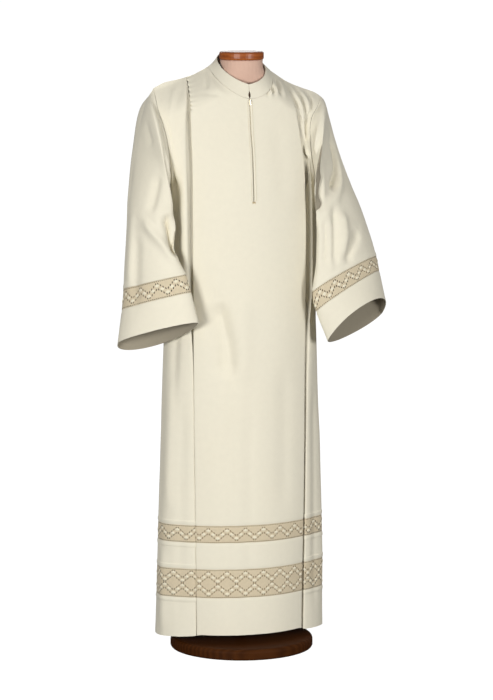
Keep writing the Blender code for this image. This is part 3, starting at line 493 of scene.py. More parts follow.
def middle_grid(face):
    """The middle panel between its pleat edges, its columns from -X to +X."""
    nominal = ROWS[:, :1]
    halves = {side: float(face.pleat(side, TOP_Z)) for side in (-1, 1)}
    shares = []
    for side in (-1, 1):
        half = halves[side]
        neck = np.sin(np.pi / 2 * np.linspace(0.0, 1.0, 25)[2:]) * NECK_HALF / half
        near = np.array((ZIP_SLIT, 0.0019, 0.0028, 0.0038, 0.0050)) / half
        outer = np.linspace(NECK_HALF / half, 1.0, 16)[1:]
        shares.append(side * np.concatenate([near, neck, outer]))
    shares = np.concatenate([shares[0][::-1], shares[1]])
    half = np.where(shares < 0, face.pleat(-1, nominal), face.pleat(1, nominal))
    x = shares * half
    z = row_height(face, x)
    y = face.rounded(x, face.flat_y(x, z, half), z)
    return np.stack([x, y, z + lean(x, z)], axis=-1)


def side_grid(face, side):
    """A side panel from its hidden edge behind the pleat to the side seam."""
    nominal = ROWS[:, 0]
    up = np.maximum(0.0, 1.0 - np.arange(len(ROWS)) / UPPER_ROWS)
    pleat_x = face.pleat(side, nominal)
    edge_y = curve(SECTIONS, nominal, face.edge)
    inward = 1.0 if face.front else -1.0
    opened = smooth((1.0 - up - 0.01) / 0.08)
    wide, lip = 0.022, 0.30
    if face.front:
        opened = smooth((1.0 - up - 0.12) / 0.30)
        wide, lip = (curve(VALLEYS[side], nominal, n) for n in (1, 2))
    tucked_in = PLEAT_DEPTH if face.front else 0.45 * PLEAT_DEPTH
    keys = []
    for offset, deep in ((GAP - UNDERLAP * opened, tucked_in), (0.2 * wide, 0.95 * PLEAT_DEPTH),
                         (wide, lip * PLEAT_DEPTH)):
        x = pleat_x + offset
        z = np.diagonal(row_height(face, side * x[None, :])).copy()
        y = face.rounded(side * x, edge_y + inward * deep, z)
        keys.append(np.stack([x, y, z + lean(side * x, z)], axis=-1))
    holes = ARMHOLES[side]
    at = UNDERARM_Z + (holes[0][0] - UNDERARM_Z) * up
    columns = (1, 2) if face.front else (3, 4)
    seam_z = np.diagonal(row_height(face, np.full((1, len(ROWS)), side * 0.2))).copy()
    above = np.arange(len(ROWS)) <= UPPER_ROWS
    end = np.stack([np.where(above, curve(holes, at, columns[0]), curve(SECTIONS, seam_z, 1)),
                    np.where(above, curve(holes, at, columns[1]), SEAM_Y),
                    np.where(above, at, seam_z)], axis=-1)
    start, span = keys[-1], end - keys[-1]
    rounding = 1.0 - up
    half = np.full_like(up, 0.5)
    near = start + span * np.stack([half, 0.50 - 0.27 * rounding, half], axis=-1)
    high = np.full_like(up, 0.75)
    far = start + span * np.stack([0.75 + 0.16 * rounding, 0.75 - 0.13 * rounding, high], axis=-1)
    lines = through([*keys, near, far, end], np.linspace(0.0, 5.0, 5 * SIDE_STEPS + 1))
    grid = np.swapaxes(lines, 0, 1) * (side, 1.0, 1.0)
    grid[0, :, 2] = shoulder_z(grid[0, :, 0], 0.0) + lean(grid[0, :, 0], TOP_Z)
    return grid


def sleeve_grid(side, front_edge, back_edge):
    """A sleeve from the armhole's edge to the cuff, in rings; key rings lie SLEEVE_STEPS apart."""
    ring = np.concatenate([front_edge, back_edge[-2:0:-1]]) + (side * ARMHOLE_GAP, 0, 0)
    turns = np.arange(len(ring))[:, None] / len(ring) * 2.0 * np.pi
    grid = [ring]
    for section in SLEEVES[side]:
        outer, inner, front, back = (np.array(v) for v in section)
        reach = np.where(np.sin(turns) > 0, front * np.sin(turns), back * -np.sin(turns))
        grid.append((outer + inner) / 2 + (outer - inner) / 2 * np.cos(turns) + reach)
    last = len(grid) - 1
    grid = through(grid, np.linspace(0.0, last, last * SLEEVE_STEPS + 1))
    return grid[:, ::-1] if side > 0 else grid


def collar_grid():
    """The collar from its left front edge round the back to the right, rows from the rim."""
    across = np.linspace(-1.0, 1.0, 161)
    turn = 1.0 - np.abs(across)
    side = np.where(across < 0, 1.0, -1.0)
    grid = []
    x = side * NECK_HALF * np.sin(np.pi * turn)
    foot = np.zeros((len(x), 3))
    for face in (FRONT, BACK):
        pick = (turn <= 0.5) if face.front else (turn > 0.5)
        z = neckline_z(x, face.neck)
        half = np.where(side < 0, face.pleat(-1, TOP_Z), face.pleat(1, TOP_Z))
        y = face.rounded(x, face.flat_y(x, z, half), z)
        foot[pick] = np.stack([x, y, z + lean(x, z) + 0.0007], axis=-1)[pick]
    c, s = np.cos(np.pi * turn), np.sin(np.pi * turn)
    rx = side * RIM_HALF * s
    rz = (RIM_BACK_Z + RIM_FRONT_Z) / 2 - (RIM_BACK_Z - RIM_FRONT_Z) / 2 * c + RIM_CROWN * s
    rim = np.stack([rx, (RIM_BACK_Y + RIM_FRONT_Y) / 2 - (RIM_BACK_Y - RIM_FRONT_Y) / 2 * c,
                    rz + lean(rx, rz)], axis=-1)
    opening = ((0.0, 0.0004), (0.42, 0.0004), (0.60, 0.0020), (0.76, 0.0034), (0.90, 0.0022), (1.0, 0.0007))
    for share in np.linspace(0.0, 1.0, 19):
        row = rim + (foot - rim) * share
        slit = curve(opening, share, 1)
        near = np.exp(-np.abs(row[:, 0]) / 0.012) * (turn < 0.5)
        row[:, 0] += side * slit * near
        grid.append(row)
    return np.array(grid)


# ----------------------------------------------------------------------- relief on the cloth
def folds_lift(grid, out, folds):
    """How far the listed folds lift each point of the cloth."""
    lift = np.zeros(grid.shape[:2])
    for depth, width_a, width_b, path in folds:
        path = through(path, np.linspace(0.0, len(path) - 1, 5 * (len(path) - 1) + 1))
        steps = np.linalg.norm(np.diff(path, axis=0), axis=1)
        start = np.concatenate([[0.0], np.cumsum(steps)])
        best = np.full(grid.shape[:2], 9.0)
        along, hand = np.zeros_like(best), np.zeros_like(best)
        for n in range(len(steps)):
            d = path[n + 1] - path[n]
            t = np.clip(((grid - path[n]) @ d) / (d @ d), 0.0, 1.0)
            off = grid - path[n] - t[..., None] * d
            far = np.linalg.norm(off, axis=-1)
            closer = far < best
            best = np.where(closer, far, best)
            along = np.where(closer, start[n] + t * steps[n], along)
            hand = np.where(closer, (np.cross(d, off) * out).sum(-1), hand)
        width = np.where(hand > 0, width_a, width_b)
        ends = smooth(np.minimum(along, start[-1] - along) / (0.22 * start[-1]))
        lift += depth * np.exp(-(best / width) ** 2) * (0.15 + 0.85 * ends)
    return lift


def waves(grid, amount):
    """Slow, uneven waves that keep the cloth from lying perfectly true."""
    flat = grid.reshape(-1, 3)
    out = [noise.noise(Vector((p[0] * 7.0, p[1] * 7.0, p[2] * 3.2)))
           + 0.35 * noise.noise(Vector((p[0] * 21.0 + 5.0, p[1] * 21.0, p[2] * 12.0))) for p in flat]
    return np.array(out).reshape(grid.shape[:2]) * amount


def seam_dips(z, seams):
    return -SEAM_DIP * sum(np.exp(-((z - s) / SEAM_REACH) ** 2) for s in seams)


def tucks(z):
    """The turnings that stand a little proud along the lace."""
    lift = np.zeros_like(z)
    tops = [t for _, t in BANDS]
    for low, high in ((tops[0], tops[0] + TUCK), (tops[1] - TUCK, tops[1]),
                      (tops[2], tops[2] + TUCK), (tops[3] - TUCK, tops[3])):
        lift += 0.0013 * smooth((z - low + 0.0006) / 0.0012) * smooth((high + 0.0006 - z) / 0.0012)
    return lift


def shaped(grid, out, folds, tucked, amount, free=1.0):
    """The grid with its folds, waves and seams; free is 0 where an edge is held in place."""
    z = grid[:, :, 2]
    lift = (folds_lift(grid, out, folds) + waves(grid, amount)) * free
    lift += seam_dips(z, [t for _, t in BANDS])
    if tucked:
        lift += tucks(z)
    return grid + out * lift[..., None]


def rolled(grid, out):
    """The panel with its pleat edges folded round and back behind it."""
    fade = smooth(np.arange(len(grid)) / UPPER_ROWS * 9 / 2)[:, None]
    radius = ROLL * (0.12 + 0.88 * fade)
    for side in (0, 1):
        col, near = (0, 1) if side == 0 else (-1, -2)
        edge, up = grid[:, col], out[:, col]
        away = unit(edge - grid[:, near])
        away = unit(away - up * (away * up).sum(-1, keepdims=True))
        lines = [edge + radius * (away * math.sin(t) + up * (math.cos(t) - 1.0))
                 for t in np.linspace(0.0, math.pi, 9)[1:]]
        back = lines[-1]
        lines += [back - away * ROLL_BACK * (0.1 + 0.9 * fade) * t for t in (0.3, 0.65, 1.0)]
        lines = np.stack(lines, axis=1)
        grid = np.concatenate([lines[:, ::-1], grid] if side == 0 else [grid, lines], axis=1)
        out = np.concatenate([out[:, :1].repeat(lines.shape[1], 1), out] if side == 0
                             else [out, out[:, -1:].repeat(lines.shape[1], 1)], axis=1)
    return grid


# -------------------------------------------------------------------------- making a piece
def object_from(name, points, faces, finish, uvs=None, smooth_angle=50.0):
    mesh = bpy.data.meshes.new(name)
    mesh.from_pydata(points, [], faces)
    if uvs is not None:
        layer = mesh.uv_layers.new(name="cloth")
        layer.data.foreach_set("uv", np.asarray(uvs, np.float32).ravel())
    mesh.shade_smooth()
    mesh.set_sharp_from_angle(angle=math.radians(smooth_angle))
    thing = bpy.data.objects.new(name, mesh)
    bpy.context.scene.collection.objects.link(thing)
    for label in [finish] if isinstance(finish, str) else finish:
        mesh.materials.append(material(label))
    return thing


class Cloth:
    """A sheet of cloth on a grid, with its own measure along it and down it."""

    def __init__(self, grid, out, height=None, closed=False, zero=None, period=None):
        if closed:
            grid = np.concatenate([grid, grid[:, :1]], axis=1)
            out = np.concatenate([out, out[:, :1]], axis=1)
        self.grid, self.out, self.closed = grid, out, closed
        middle = grid[len(grid) // 2]
        self.along = np.concatenate([[0.0], np.cumsum(np.linalg.norm(np.diff(middle, axis=0), axis=1))])
        if period:
            self.along *= round(self.along[-1] / period) * period / self.along[-1]
        if zero is not None:
            self.along -= np.interp(zero, np.arange(len(middle)), self.along)
        down = np.linalg.norm(np.diff(grid, axis=0), axis=-1)
        self.length = float(down.sum(0).mean())
        self.height = height or self.length
        steps = np.concatenate([[0.0], np.cumsum(down.mean(1))])
        self.level = (0.5 - steps / steps[-1]) * self.height

    def cut(self):
        """Widest row, longest column and true area of the cloth."""
        g = self.grid
        width = float(np.linalg.norm(np.diff(g, axis=1), axis=-1).sum(1).max())
        long = float(np.linalg.norm(np.diff(g, axis=0), axis=-1).sum(0).max())
        one = np.cross(g[1:, :-1] - g[:-1, :-1], g[:-1, 1:] - g[:-1, :-1])
        two = np.cross(g[1:, 1:] - g[1:, :-1], g[1:, 1:] - g[:-1, 1:])
        area = float((np.linalg.norm(one, axis=-1) + np.linalg.norm(two, axis=-1)).sum() / 2)
        return (round(width, 3), round(long, 3)), round(min(area, width * long), 4)

    def at(self, u, v, lift):
        """Points at a place along and down the cloth, lifted off it."""
        u, v, lift = np.broadcast_arrays(u, v, lift)
        row = np.interp(-v, -self.level, np.arange(len(self.level)))
        col = np.interp(u, self.along, np.arange(len(self.along)))
        i = np.clip(row.astype(int), 0, len(self.level) - 2)
        j = np.clip(col.astype(int), 0, len(self.along) - 2)
        a, b = (row - i)[..., None], (col - j)[..., None]

        def mix(field):
            return ((field[i, j] * (1 - b) + field[i, j + 1] * b) * (1 - a)
                    + (field[i + 1, j] * (1 - b) + field[i + 1, j + 1] * b) * a)

        return mix(self.grid) + mix(self.out) * lift[..., None]

    def make(self, name, wall, finish, slit=None):
        """The closed wall: the grid is its outer side, and the inner side lies behind it."""
        grid = self.grid[:, :-1] if self.closed else self.grid
        out = self.out[:, :-1] if self.closed else self.out
        rows, cols = grid.shape[:2]
        index = np.arange(rows * cols).reshape(rows, cols)
        nxt = np.roll(index, -1, axis=1) if self.closed else index[:, 1:]
        left = index if self.closed else index[:, :-1]
        faces = np.stack([left[:-1], left[1:], nxt[1:], nxt[:-1]], axis=-1)
        u, v = np.meshgrid(self.along, self.level)
        flat = np.stack([u, v], axis=-1)
        uvs = np.stack([flat[:-1, :-1], flat[1:, :-1], flat[1:, 1:], flat[:-1, 1:]], axis=2)
        keep = np.ones(faces.shape[:2], bool)
        if slit:
            keep[:slit[0], slit[1]] = False
        faces, uvs = faces[keep], uvs[keep]
        edges = np.stack([faces, np.roll(faces, -1, axis=1)], axis=-1).reshape(-1, 2)
        place = uvs.reshape(-1, 2)
        known = {(a, b) for a, b in edges.tolist()}
        shift = rows * cols
        rim, rim_uv = [], []
        for (a, b), at in zip(edges.tolist(), place.tolist()):
            if (b, a) not in known:
                rim.append((b, a, a + shift, b + shift))
                rim_uv += [at] * 4
        back = faces[:, ::-1] + shift
        points = np.concatenate([grid.reshape(-1, 3), (grid - out * wall).reshape(-1, 3)])
        all_uv = np.concatenate([place, uvs[:, ::-1].reshape(-1, 2), np.array(rim_uv)])
        thing = object_from(name, points.tolist(), faces.tolist() + back.tolist() + rim, finish, all_uv)
        # With two finishes the inner side takes the second; on the sleeves and cuffs that is a painted shade.
        if not isinstance(finish, str):
            index = np.zeros(2 * len(faces) + len(rim), np.int32)
            index[len(faces):2 * len(faces)] = 1
            thing.data.polygons.foreach_set("material_index", index)
        return thing


def fit_out(thing, slot, *nodes):
    """Hangs every new piece on the body, and hides the solids that it stands for."""
    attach(thing, BODY)
    if nodes:
        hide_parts(*nodes)
    return thing


def sew(name, grid, out, wall, finish, extras=(), slot="cloth", slit=None, **more):
    """One sheet of cloth that stands for the solid of the same name."""
    cloth = Cloth(grid, out, **more)
    thing = fit_out(cloth.make(f"{name}_cloth", wall, finish, slit), slot, name)
    flat, area = cloth.cut()
    pieces = [make(cloth) for make in extras]
    return thing


def strips(name, grid, out, zero, seen):
    """The four lengths of the skirt under a panel, each a sheet of its own."""
    sizes = bpy.context.scene.robe_sizes
    for band, _ in BANDS:
        rows = ROW_PARTS[band]
        label = f"{band}_{name}"
        if "lace" in band:
            mirrored = band == "lower_lace"
            finish = ("lace_diamonds" if mirrored else "lace_zigzag") + ("_middle" if seen else "")
            height = LACE_HEIGHTS[mirrored] - GAP
            sew(label, grid[rows], out[rows], sizes.lace_wall, finish, slot="lace", height=height,
                zero=zero, extras=[lambda c, m=mirrored, n=label: lace_work(f"{n}_work", c, m)])
        else:
            sew(label, grid[rows], out[rows], sizes.cloth_wall, "ivory_cloth", zero=zero)


# ------------------------------------------------------------------ lace work and stitches
def domes(name, cloth, spots, finish, slot):
    """Small rounded pads that lie on a cloth: each spot is u, v, half width, half height, lift, turn."""
    sides = 10
    turns = np.arange(sides) / sides * 2.0 * np.pi
    rings = ((0.96, -0.0005), (1.0, 0.0002), (0.80, 0.55), (0.42, 0.90))
    points, faces = [], []
    for u, v, wide, tall, lift, turn in spots:
        c, s = math.cos(turn), math.sin(turn)
        us, vs, hs = [], [], []
        for share, rise in rings:
            a, b = wide * share * np.cos(turns), tall * share * np.sin(turns)
            us.append(u + a * c - b * s)
            vs.append(v + a * s + b * c)
            hs.append(np.full(sides, rise if rise < 0.01 else rise * lift))
        us, vs, hs = (np.concatenate([*x, [y, y]]) for x, y in zip((us, vs, hs), (u, v, 0.0)))
        hs[-2:] = (lift, -0.0005)
        points.append(cloth.at(us, vs, hs))
        first = sum(len(p) for p in points[:-1])
        for k in range(sides):
            n = (k + 1) % sides
            for r in range(len(rings) - 1):
                at = first + r * sides
                faces.append((at + k, at + n, at + sides + n, at + sides + k))
            top = first + (len(rings) - 1) * sides
            faces.append((top + k, top + n, first + len(rings) * sides))
            faces.append((first + n, first + k, first + len(rings) * sides + 1))
    thing = object_from(name, np.concatenate(points).tolist(), faces, finish, smooth_angle=75.0)
    return fit_out(thing, slot)


def zigzag(u, period):
    """-1 to 1 and back over one period, in straight lines."""
    t = (u / period) % 1.0
    return 4.0 * min(t, 1.0 - t) - 1.0


def lace_work(name, cloth, mirrored):
    """The worked ovals between the two zigzag lines."""
    lace = bpy.context.scene.robe_lace
    low, high = cloth.along[0] + 0.004, cloth.along[-1] - 0.004
    quarter = lace.period / 4
    spots = []
    for n in range(math.ceil(low / quarter), math.floor(high / quarter) + 1):
        u = n * quarter
        v = lace.swing * zigzag(u, lace.period)
        slope = (0.0, 1.0, 0.0, -1.0)[n % 4] * 0.30
        wide = lace.oval_width * (1.10 if n % 2 == 0 else 1.0)
        for sign in (1, -1) if mirrored else (1,):
            centre = sign * (v + lace.swing + lace.lines) if mirrored else v
            spots.append((u, centre, wide, lace.oval_height, 0.0013, sign * slope))
    return domes(name, cloth, spots, "lace_thread", "lace")


def threads(name, pairs, radius, finish, slot):
    """Short lengths of thread, each a small tapered rod from one point to another."""
    sides = 6
    points, faces = [], []
    for start, end in pairs:
        start, end = np.array(start, float), np.array(end, float)
        axis = unit(end - start)
        side = unit(np.cross(axis, (0.0, 1.0, 0.0) if abs(axis[1]) < 0.9 else (1.0, 0.0, 0.0)))
        other = np.cross(axis, side)
        first = len(points)
        for share, thick in ((0.0, 0.4), (0.18, 1.0), (0.82, 1.0), (1.0, 0.4)):
            for k in range(sides):
                t = 2.0 * math.pi * k / sides
                points.append(start + (end - start) * share
                              + radius * thick * (side * math.cos(t) + other * math.sin(t)))
        for r in range(3):
            for k in range(sides):
                n = (k + 1) % sides
                at = first + r * sides
                faces.append((at + k, at + sides + k, at + sides + n, at + n))
        faces.append([first + k for k in range(sides)])
        faces.append([first + 3 * sides + k for k in reversed(range(sides))])
    thing = object_from(name, [tuple(p) for p in points], faces, finish, smooth_angle=75.0)
    deselect()
    thing.select_set(True)
    bpy.context.view_layer.objects.active = thing
    bpy.ops.object.mode_set(mode="EDIT")
    bpy.ops.mesh.select_all(action="SELECT")
    bpy.ops.mesh.normals_make_consistent(inside=False)
    bpy.ops.object.mode_set(mode="OBJECT")
    return fit_out(thing, slot)


def deselect():
    for thing in bpy.context.selected_objects:
        thing.select_set(False)


# --------------------------------------------------------------------------- the materials
def put(tree, kind, inputs=(), **settings):
    """A node with its settings, and with values or links on its inputs."""
    node = tree.nodes.new(f"ShaderNode{kind}")
    for key, value in settings.items():
        setattr(node, key, value)
    for key, value in dict(inputs).items():
        if isinstance(value, bpy.types.NodeSocket):
            tree.links.new(value, node.inputs[key])
        else:
            node.inputs[key].default_value = value
    return node


def calc(tree, operation, *values, clamp=False):
    node = put(tree, "Math", dict(enumerate(values)), operation=operation, use_clamp=clamp)
    return node.outputs[0]


def mix(tree, factor, a, b, blend="MIX"):
    node = put(tree, "Mix", data_type="RGBA", blend_type=blend)
    for key, value in ((0, factor), (6, a), (7, b)):
        if isinstance(value, bpy.types.NodeSocket):
            tree.links.new(value, node.inputs[key])
        else:
            node.inputs[key].default_value = value
    return node.outputs[2]


def group(name, inputs, outputs):
    """A new node group with its sockets; its ends are returned with it."""
    tree = bpy.data.node_groups.new(name, "ShaderNodeTree")
    for way, sockets in (("INPUT", inputs), ("OUTPUT", outputs)):
        for label, kind in sockets:
            tree.interface.new_socket(label, in_out=way, socket_type=f"NodeSocket{kind}")
    return tree, tree.nodes.new("NodeGroupInput").outputs, tree.nodes.new("NodeGroupOutput").inputs


def weave_group():
    """Crossing threads with a little nap, and slow patches of a second tone."""
    tree, given, made = group(
        "woven_cloth",
        (("Place", "Vector"), ("Threads", "Float"), ("Colour", "Color"), ("Second", "Color")),
        (("Colour", "Color"), ("Height", "Float")))
    spot = put(tree, "SeparateXYZ", {0: given["Place"]}).outputs
    thread = calc(tree, "DIVIDE", 2.0 * math.pi, given["Threads"])
    warp = calc(tree, "SINE", calc(tree, "MULTIPLY", spot[0], thread))
    weft = calc(tree, "SINE", calc(tree, "MULTIPLY", spot[1], thread))
    weave = calc(tree, "MULTIPLY", warp, weft)
    nap = put(tree, "TexNoise", {"Vector": given["Place"], "Scale": 900.0, "Detail": 2.0})
    patches = put(tree, "TexNoise", {"Vector": given["Place"], "Scale": 5.0, "Detail": 3.0})
    slub = put(tree, "TexNoise", {"Vector": given["Place"], "Scale": 60.0, "Detail": 2.0})
    tone = mix(tree, patches.outputs[0], given["Colour"], given["Second"])
    shade = calc(tree, "MULTIPLY_ADD", weave, 0.014, 0.970)
    shade = calc(tree, "MULTIPLY_ADD", slub.outputs[0], 0.050, shade)
    tree.links.new(mix(tree, 1.0, tone, put(tree, "CombineColor", {0: shade, 1: shade, 2: shade}).outputs[0],
                       "MULTIPLY"), made["Colour"])
    height = calc(tree, "MULTIPLY_ADD", nap.outputs[0], 0.8, weave)
    tree.links.new(height, made["Height"])
    return tree


def lace_group():
    """The lace's chart: net, holes along two zigzag lines, and a ladder stitch at both edges."""
    tree, given, made = group("lace_chart", (
        ("Place", "Vector"), ("Period", "Float"), ("Swing", "Float"), ("Lines", "Float"),
        ("Mirrored", "Float"), ("Edge", "Float"), ("Hole Width", "Float"), ("Hole Length", "Float"),
        ("Ladder", "Float"),
        ("Open", "Float"), ("Net", "Color"), ("Hole", "Color"), ("Soft Hole", "Color")),
        (("Colour", "Color"), ("Alpha", "Float"), ("Height", "Float")))
    spot = put(tree, "SeparateXYZ", {0: given["Place"]}).outputs
    half = calc(tree, "MULTIPLY", given["Period"], 0.5)
    swing = calc(tree, "DIVIDE", calc(tree, "PINGPONG", spot[0], half), half)
    line = calc(tree, "MULTIPLY", calc(tree, "MULTIPLY_ADD", swing, 2.0, -1.0), given["Swing"])
    tall = calc(tree, "ABSOLUTE", spot[1])
    folded = calc(tree, "SUBTRACT", tall, calc(tree, "ADD", given["Swing"], given["Lines"]))
    either = put(tree, "Mix", {0: given["Mirrored"], 2: spot[1], 3: folded}, data_type="FLOAT").outputs[0]
    from_line = calc(tree, "ABSOLUTE", calc(tree, "SUBTRACT", either, line))
    across = calc(tree, "SUBTRACT", from_line, given["Lines"])
    pitch = calc(tree, "DIVIDE", half, 4.0)

    def oval(a, wide, b, tall_half):
        """1 inside a small oval, 0 outside it, soft over its edge."""
        one = calc(tree, "POWER", calc(tree, "ABSOLUTE", calc(tree, "DIVIDE", a, wide)), 2.0)
        two = calc(tree, "POWER", calc(tree, "ABSOLUTE", calc(tree, "DIVIDE", b, tall_half)), 2.0)
        return calc(tree, "SUBTRACT", 1.0, calc(tree, "ADD", one, two))

    def along(step):
        share = calc(tree, "FRACT", calc(tree, "DIVIDE", spot[0], step))
        return calc(tree, "MULTIPLY", calc(tree, "SUBTRACT", share, 0.5), step)

    holes = oval(along(pitch), given["Hole Length"], across, given["Hole Width"])
    rung = calc(tree, "SUBTRACT", tall, given["Edge"])
    ladder = oval(along(given["Ladder"]), 0.0015, rung, 0.0012)
    both = calc(tree, "MAXIMUM", holes, ladder)
    inside = calc(tree, "MULTIPLY", both, 5.0, clamp=True)
    # The holes' colour is a painted shade, broken into soft patches of two tones.
    patches = put(tree, "TexNoise", {"Vector": given["Place"], "Scale": 9.0, "Detail": 1.0}).outputs[0]
    dim = calc(tree, "MULTIPLY_ADD", patches, 4.0, -1.2, clamp=True)
    hole = mix(tree, dim, given["Soft Hole"], given["Hole"])
    mesh_a = calc(tree, "SINE", calc(tree, "MULTIPLY", spot[0], 2.0 * math.pi / 0.0016))
    mesh_b = calc(tree, "SINE", calc(tree, "MULTIPLY", spot[1], 2.0 * math.pi / 0.0016))
    net = calc(tree, "MULTIPLY", mesh_a, mesh_b)
    mottle = put(tree, "TexNoise", {"Vector": given["Place"], "Scale": 120.0, "Detail": 2.0}).outputs[0]
    shade = calc(tree, "MULTIPLY_ADD", net, 0.07, calc(tree, "MULTIPLY_ADD", mottle, 0.16, 0.90))
    ground = mix(tree, 1.0, given["Net"],
                 put(tree, "CombineColor", {0: shade, 1: shade, 2: shade}).outputs[0], "MULTIPLY")
    tree.links.new(mix(tree, inside, ground, hole), made["Colour"])
    tree.links.new(calc(tree, "SUBTRACT", 1.0, calc(tree, "MULTIPLY", inside, given["Open"])), made["Alpha"])
    tree.links.new(calc(tree, "SUBTRACT", net, calc(tree, "MULTIPLY", inside, 2.0)), made["Height"])
    return tree


def wood_group():
    """Long grain through a turned block, with fine pores."""
    tree, given, made = group("wood_grain", (("Place", "Vector"), ("Rings", "Float"), ("Light", "Color"),
                                             ("Dark", "Color")), (("Colour", "Color"), ("Height", "Float")))
    long = put(tree, "Mapping", {"Vector": given["Place"], "Scale": (1.0, 5.0, 3.0)}).outputs[0]
    warp = put(tree, "TexNoise", {"Vector": long, "Scale": 9.0, "Detail": 4.0}).outputs[0]
    rings = put(tree, "TexWave", {"Vector": long, "Scale": given["Rings"], "Distortion": 5.0, "Detail": 3.0},
                wave_type="RINGS", rings_direction="X").outputs["Fac"]
    pores = put(tree, "TexNoise", {"Vector": long, "Scale": 260.0, "Detail": 3.0}).outputs[0]
    grain = calc(tree, "MULTIPLY_ADD", warp, 0.55, calc(tree, "MULTIPLY", rings, 0.45))
    tree.links.new(mix(tree, grain, given["Dark"], given["Light"]), made["Colour"])
    tree.links.new(calc(tree, "MULTIPLY_ADD", pores, 0.3, grain), made["Height"])
    return tree


GROUPS = {"woven_cloth": weave_group, "lace_chart": lace_group, "wood_grain": wood_group}


def use(tree, name, inputs):
    node = tree.nodes.new("ShaderNodeGroup")
    node.node_tree = bpy.data.node_groups.get(name) or GROUPS[name]()
    for key, value in inputs.items():
        if isinstance(value, bpy.types.NodeSocket):
            tree.links.new(value, node.inputs[key])
        else:
            node.inputs[key].default_value = value
    return node.outputs


def shader(name, **values):
    """A material with its Principled BSDF, whose plain values sit on its own sockets."""
    made = bpy.data.materials.new(name)
    made.use_nodes = True
    node = made.node_tree.nodes["Principled BSDF"]
    for key, value in values.items():
        node.inputs[key.replace("_", " ")].default_value = value
    return made, made.node_tree, node.inputs


def bump(tree, height, strength, distance):
    return put(tree, "Bump", {"Height": height, "Strength": strength, "Distance": distance}).outputs[0]


def tint(rgb):
    return (*rgb, 1.0)


def cloth_material(name, first, second, threads_apart, sheen=0.25, place="UV", strength=0.30):
    made, tree, ends = shader(name, Roughness=0.86, Sheen_Weight=sheen, Sheen_Roughness=0.45,
                              Specular_IOR_Level=0.25)
    if place == "UV":
        spot = put(tree, "UVMap", uv_map="cloth").outputs[0]
    else:
        spot = put(tree, "TexCoord").outputs["Object"]
    woven = use(tree, "woven_cloth", {"Place": spot, "Threads": threads_apart, "Colour": tint(first),
                                      "Second": tint(second)})
    tree.links.new(woven["Colour"], ends["Base Color"])
    tree.links.new(bump(tree, woven["Height"], strength, 0.00012), ends["Normal"])
    return made


def lace_material(name):
    colours, lace = bpy.context.scene.robe_colours, bpy.context.scene.robe_lace
    mirrored = "diamonds" in name
    made, tree, ends = shader(name, Roughness=0.85, Sheen_Weight=0.15, Sheen_Roughness=0.5,
                              Specular_IOR_Level=0.25)
    # The holes are nearly closed and painted with shade: ochre over the middle panels, near black on the sides
    # and sleeves.
    chart = use(tree, "lace_chart", {
        "Place": put(tree, "UVMap", uv_map="cloth").outputs[0], "Period": lace.period, "Swing": lace.swing,
        "Lines": lace.lines, "Mirrored": float(mirrored), "Edge": LACE_HEIGHTS[mirrored] / 2 - LADDER_INSET,
        "Hole Width": lace.hole_width, "Hole Length": lace.hole_length, "Ladder": lace.ladder,
        "Open": 0.0 if "middle" in name else 0.06, "Net": tint(colours.lace),
        "Hole": tint(colours.painted_ochre_hole_shade if "middle" in name else colours.painted_dark_hole_shadow),
        "Soft Hole": tint(colours.painted_ochre_hole_shade)})
    tree.links.new(chart["Colour"], ends["Base Color"])
    tree.links.new(chart["Alpha"], ends["Alpha"])
    tree.links.new(bump(tree, chart["Height"], 0.5, 0.00025), ends["Normal"])
    return made


def wood_material(name, light, dark, rings, roughness, coat, gloss=0.16):
    made, tree, ends = shader(name, Roughness=roughness, Coat_Weight=coat, Coat_Roughness=0.34,
                              Specular_IOR_Level=gloss)
    spot = put(tree, "TexCoord").outputs["Object"]
    grain = use(tree, "wood_grain", {"Place": spot, "Rings": rings, "Light": tint(light), "Dark": tint(dark)})
    tree.links.new(grain["Colour"], ends["Base Color"])
    tree.links.new(bump(tree, grain["Height"], 0.12, 0.0004), ends["Normal"])
    return made


def plain_material(name, rgb, roughness, metallic=0.0, scale=400.0, depth=0.08):
    """A hard finish with faint wear in its colour and surface."""
    made, tree, ends = shader(name, Roughness=roughness, Metallic=metallic)
    spot = put(tree, "TexCoord").outputs["Object"]
    marks = put(tree, "TexNoise", {"Vector": spot, "Scale": scale, "Detail": 3.0}).outputs[0]
    darker = tuple(c * 0.72 for c in rgb)
    tree.links.new(mix(tree, marks, tint(rgb), tint(darker)), ends["Base Color"])
    tree.links.new(bump(tree, marks, depth, 0.0003), ends["Normal"])
    return made


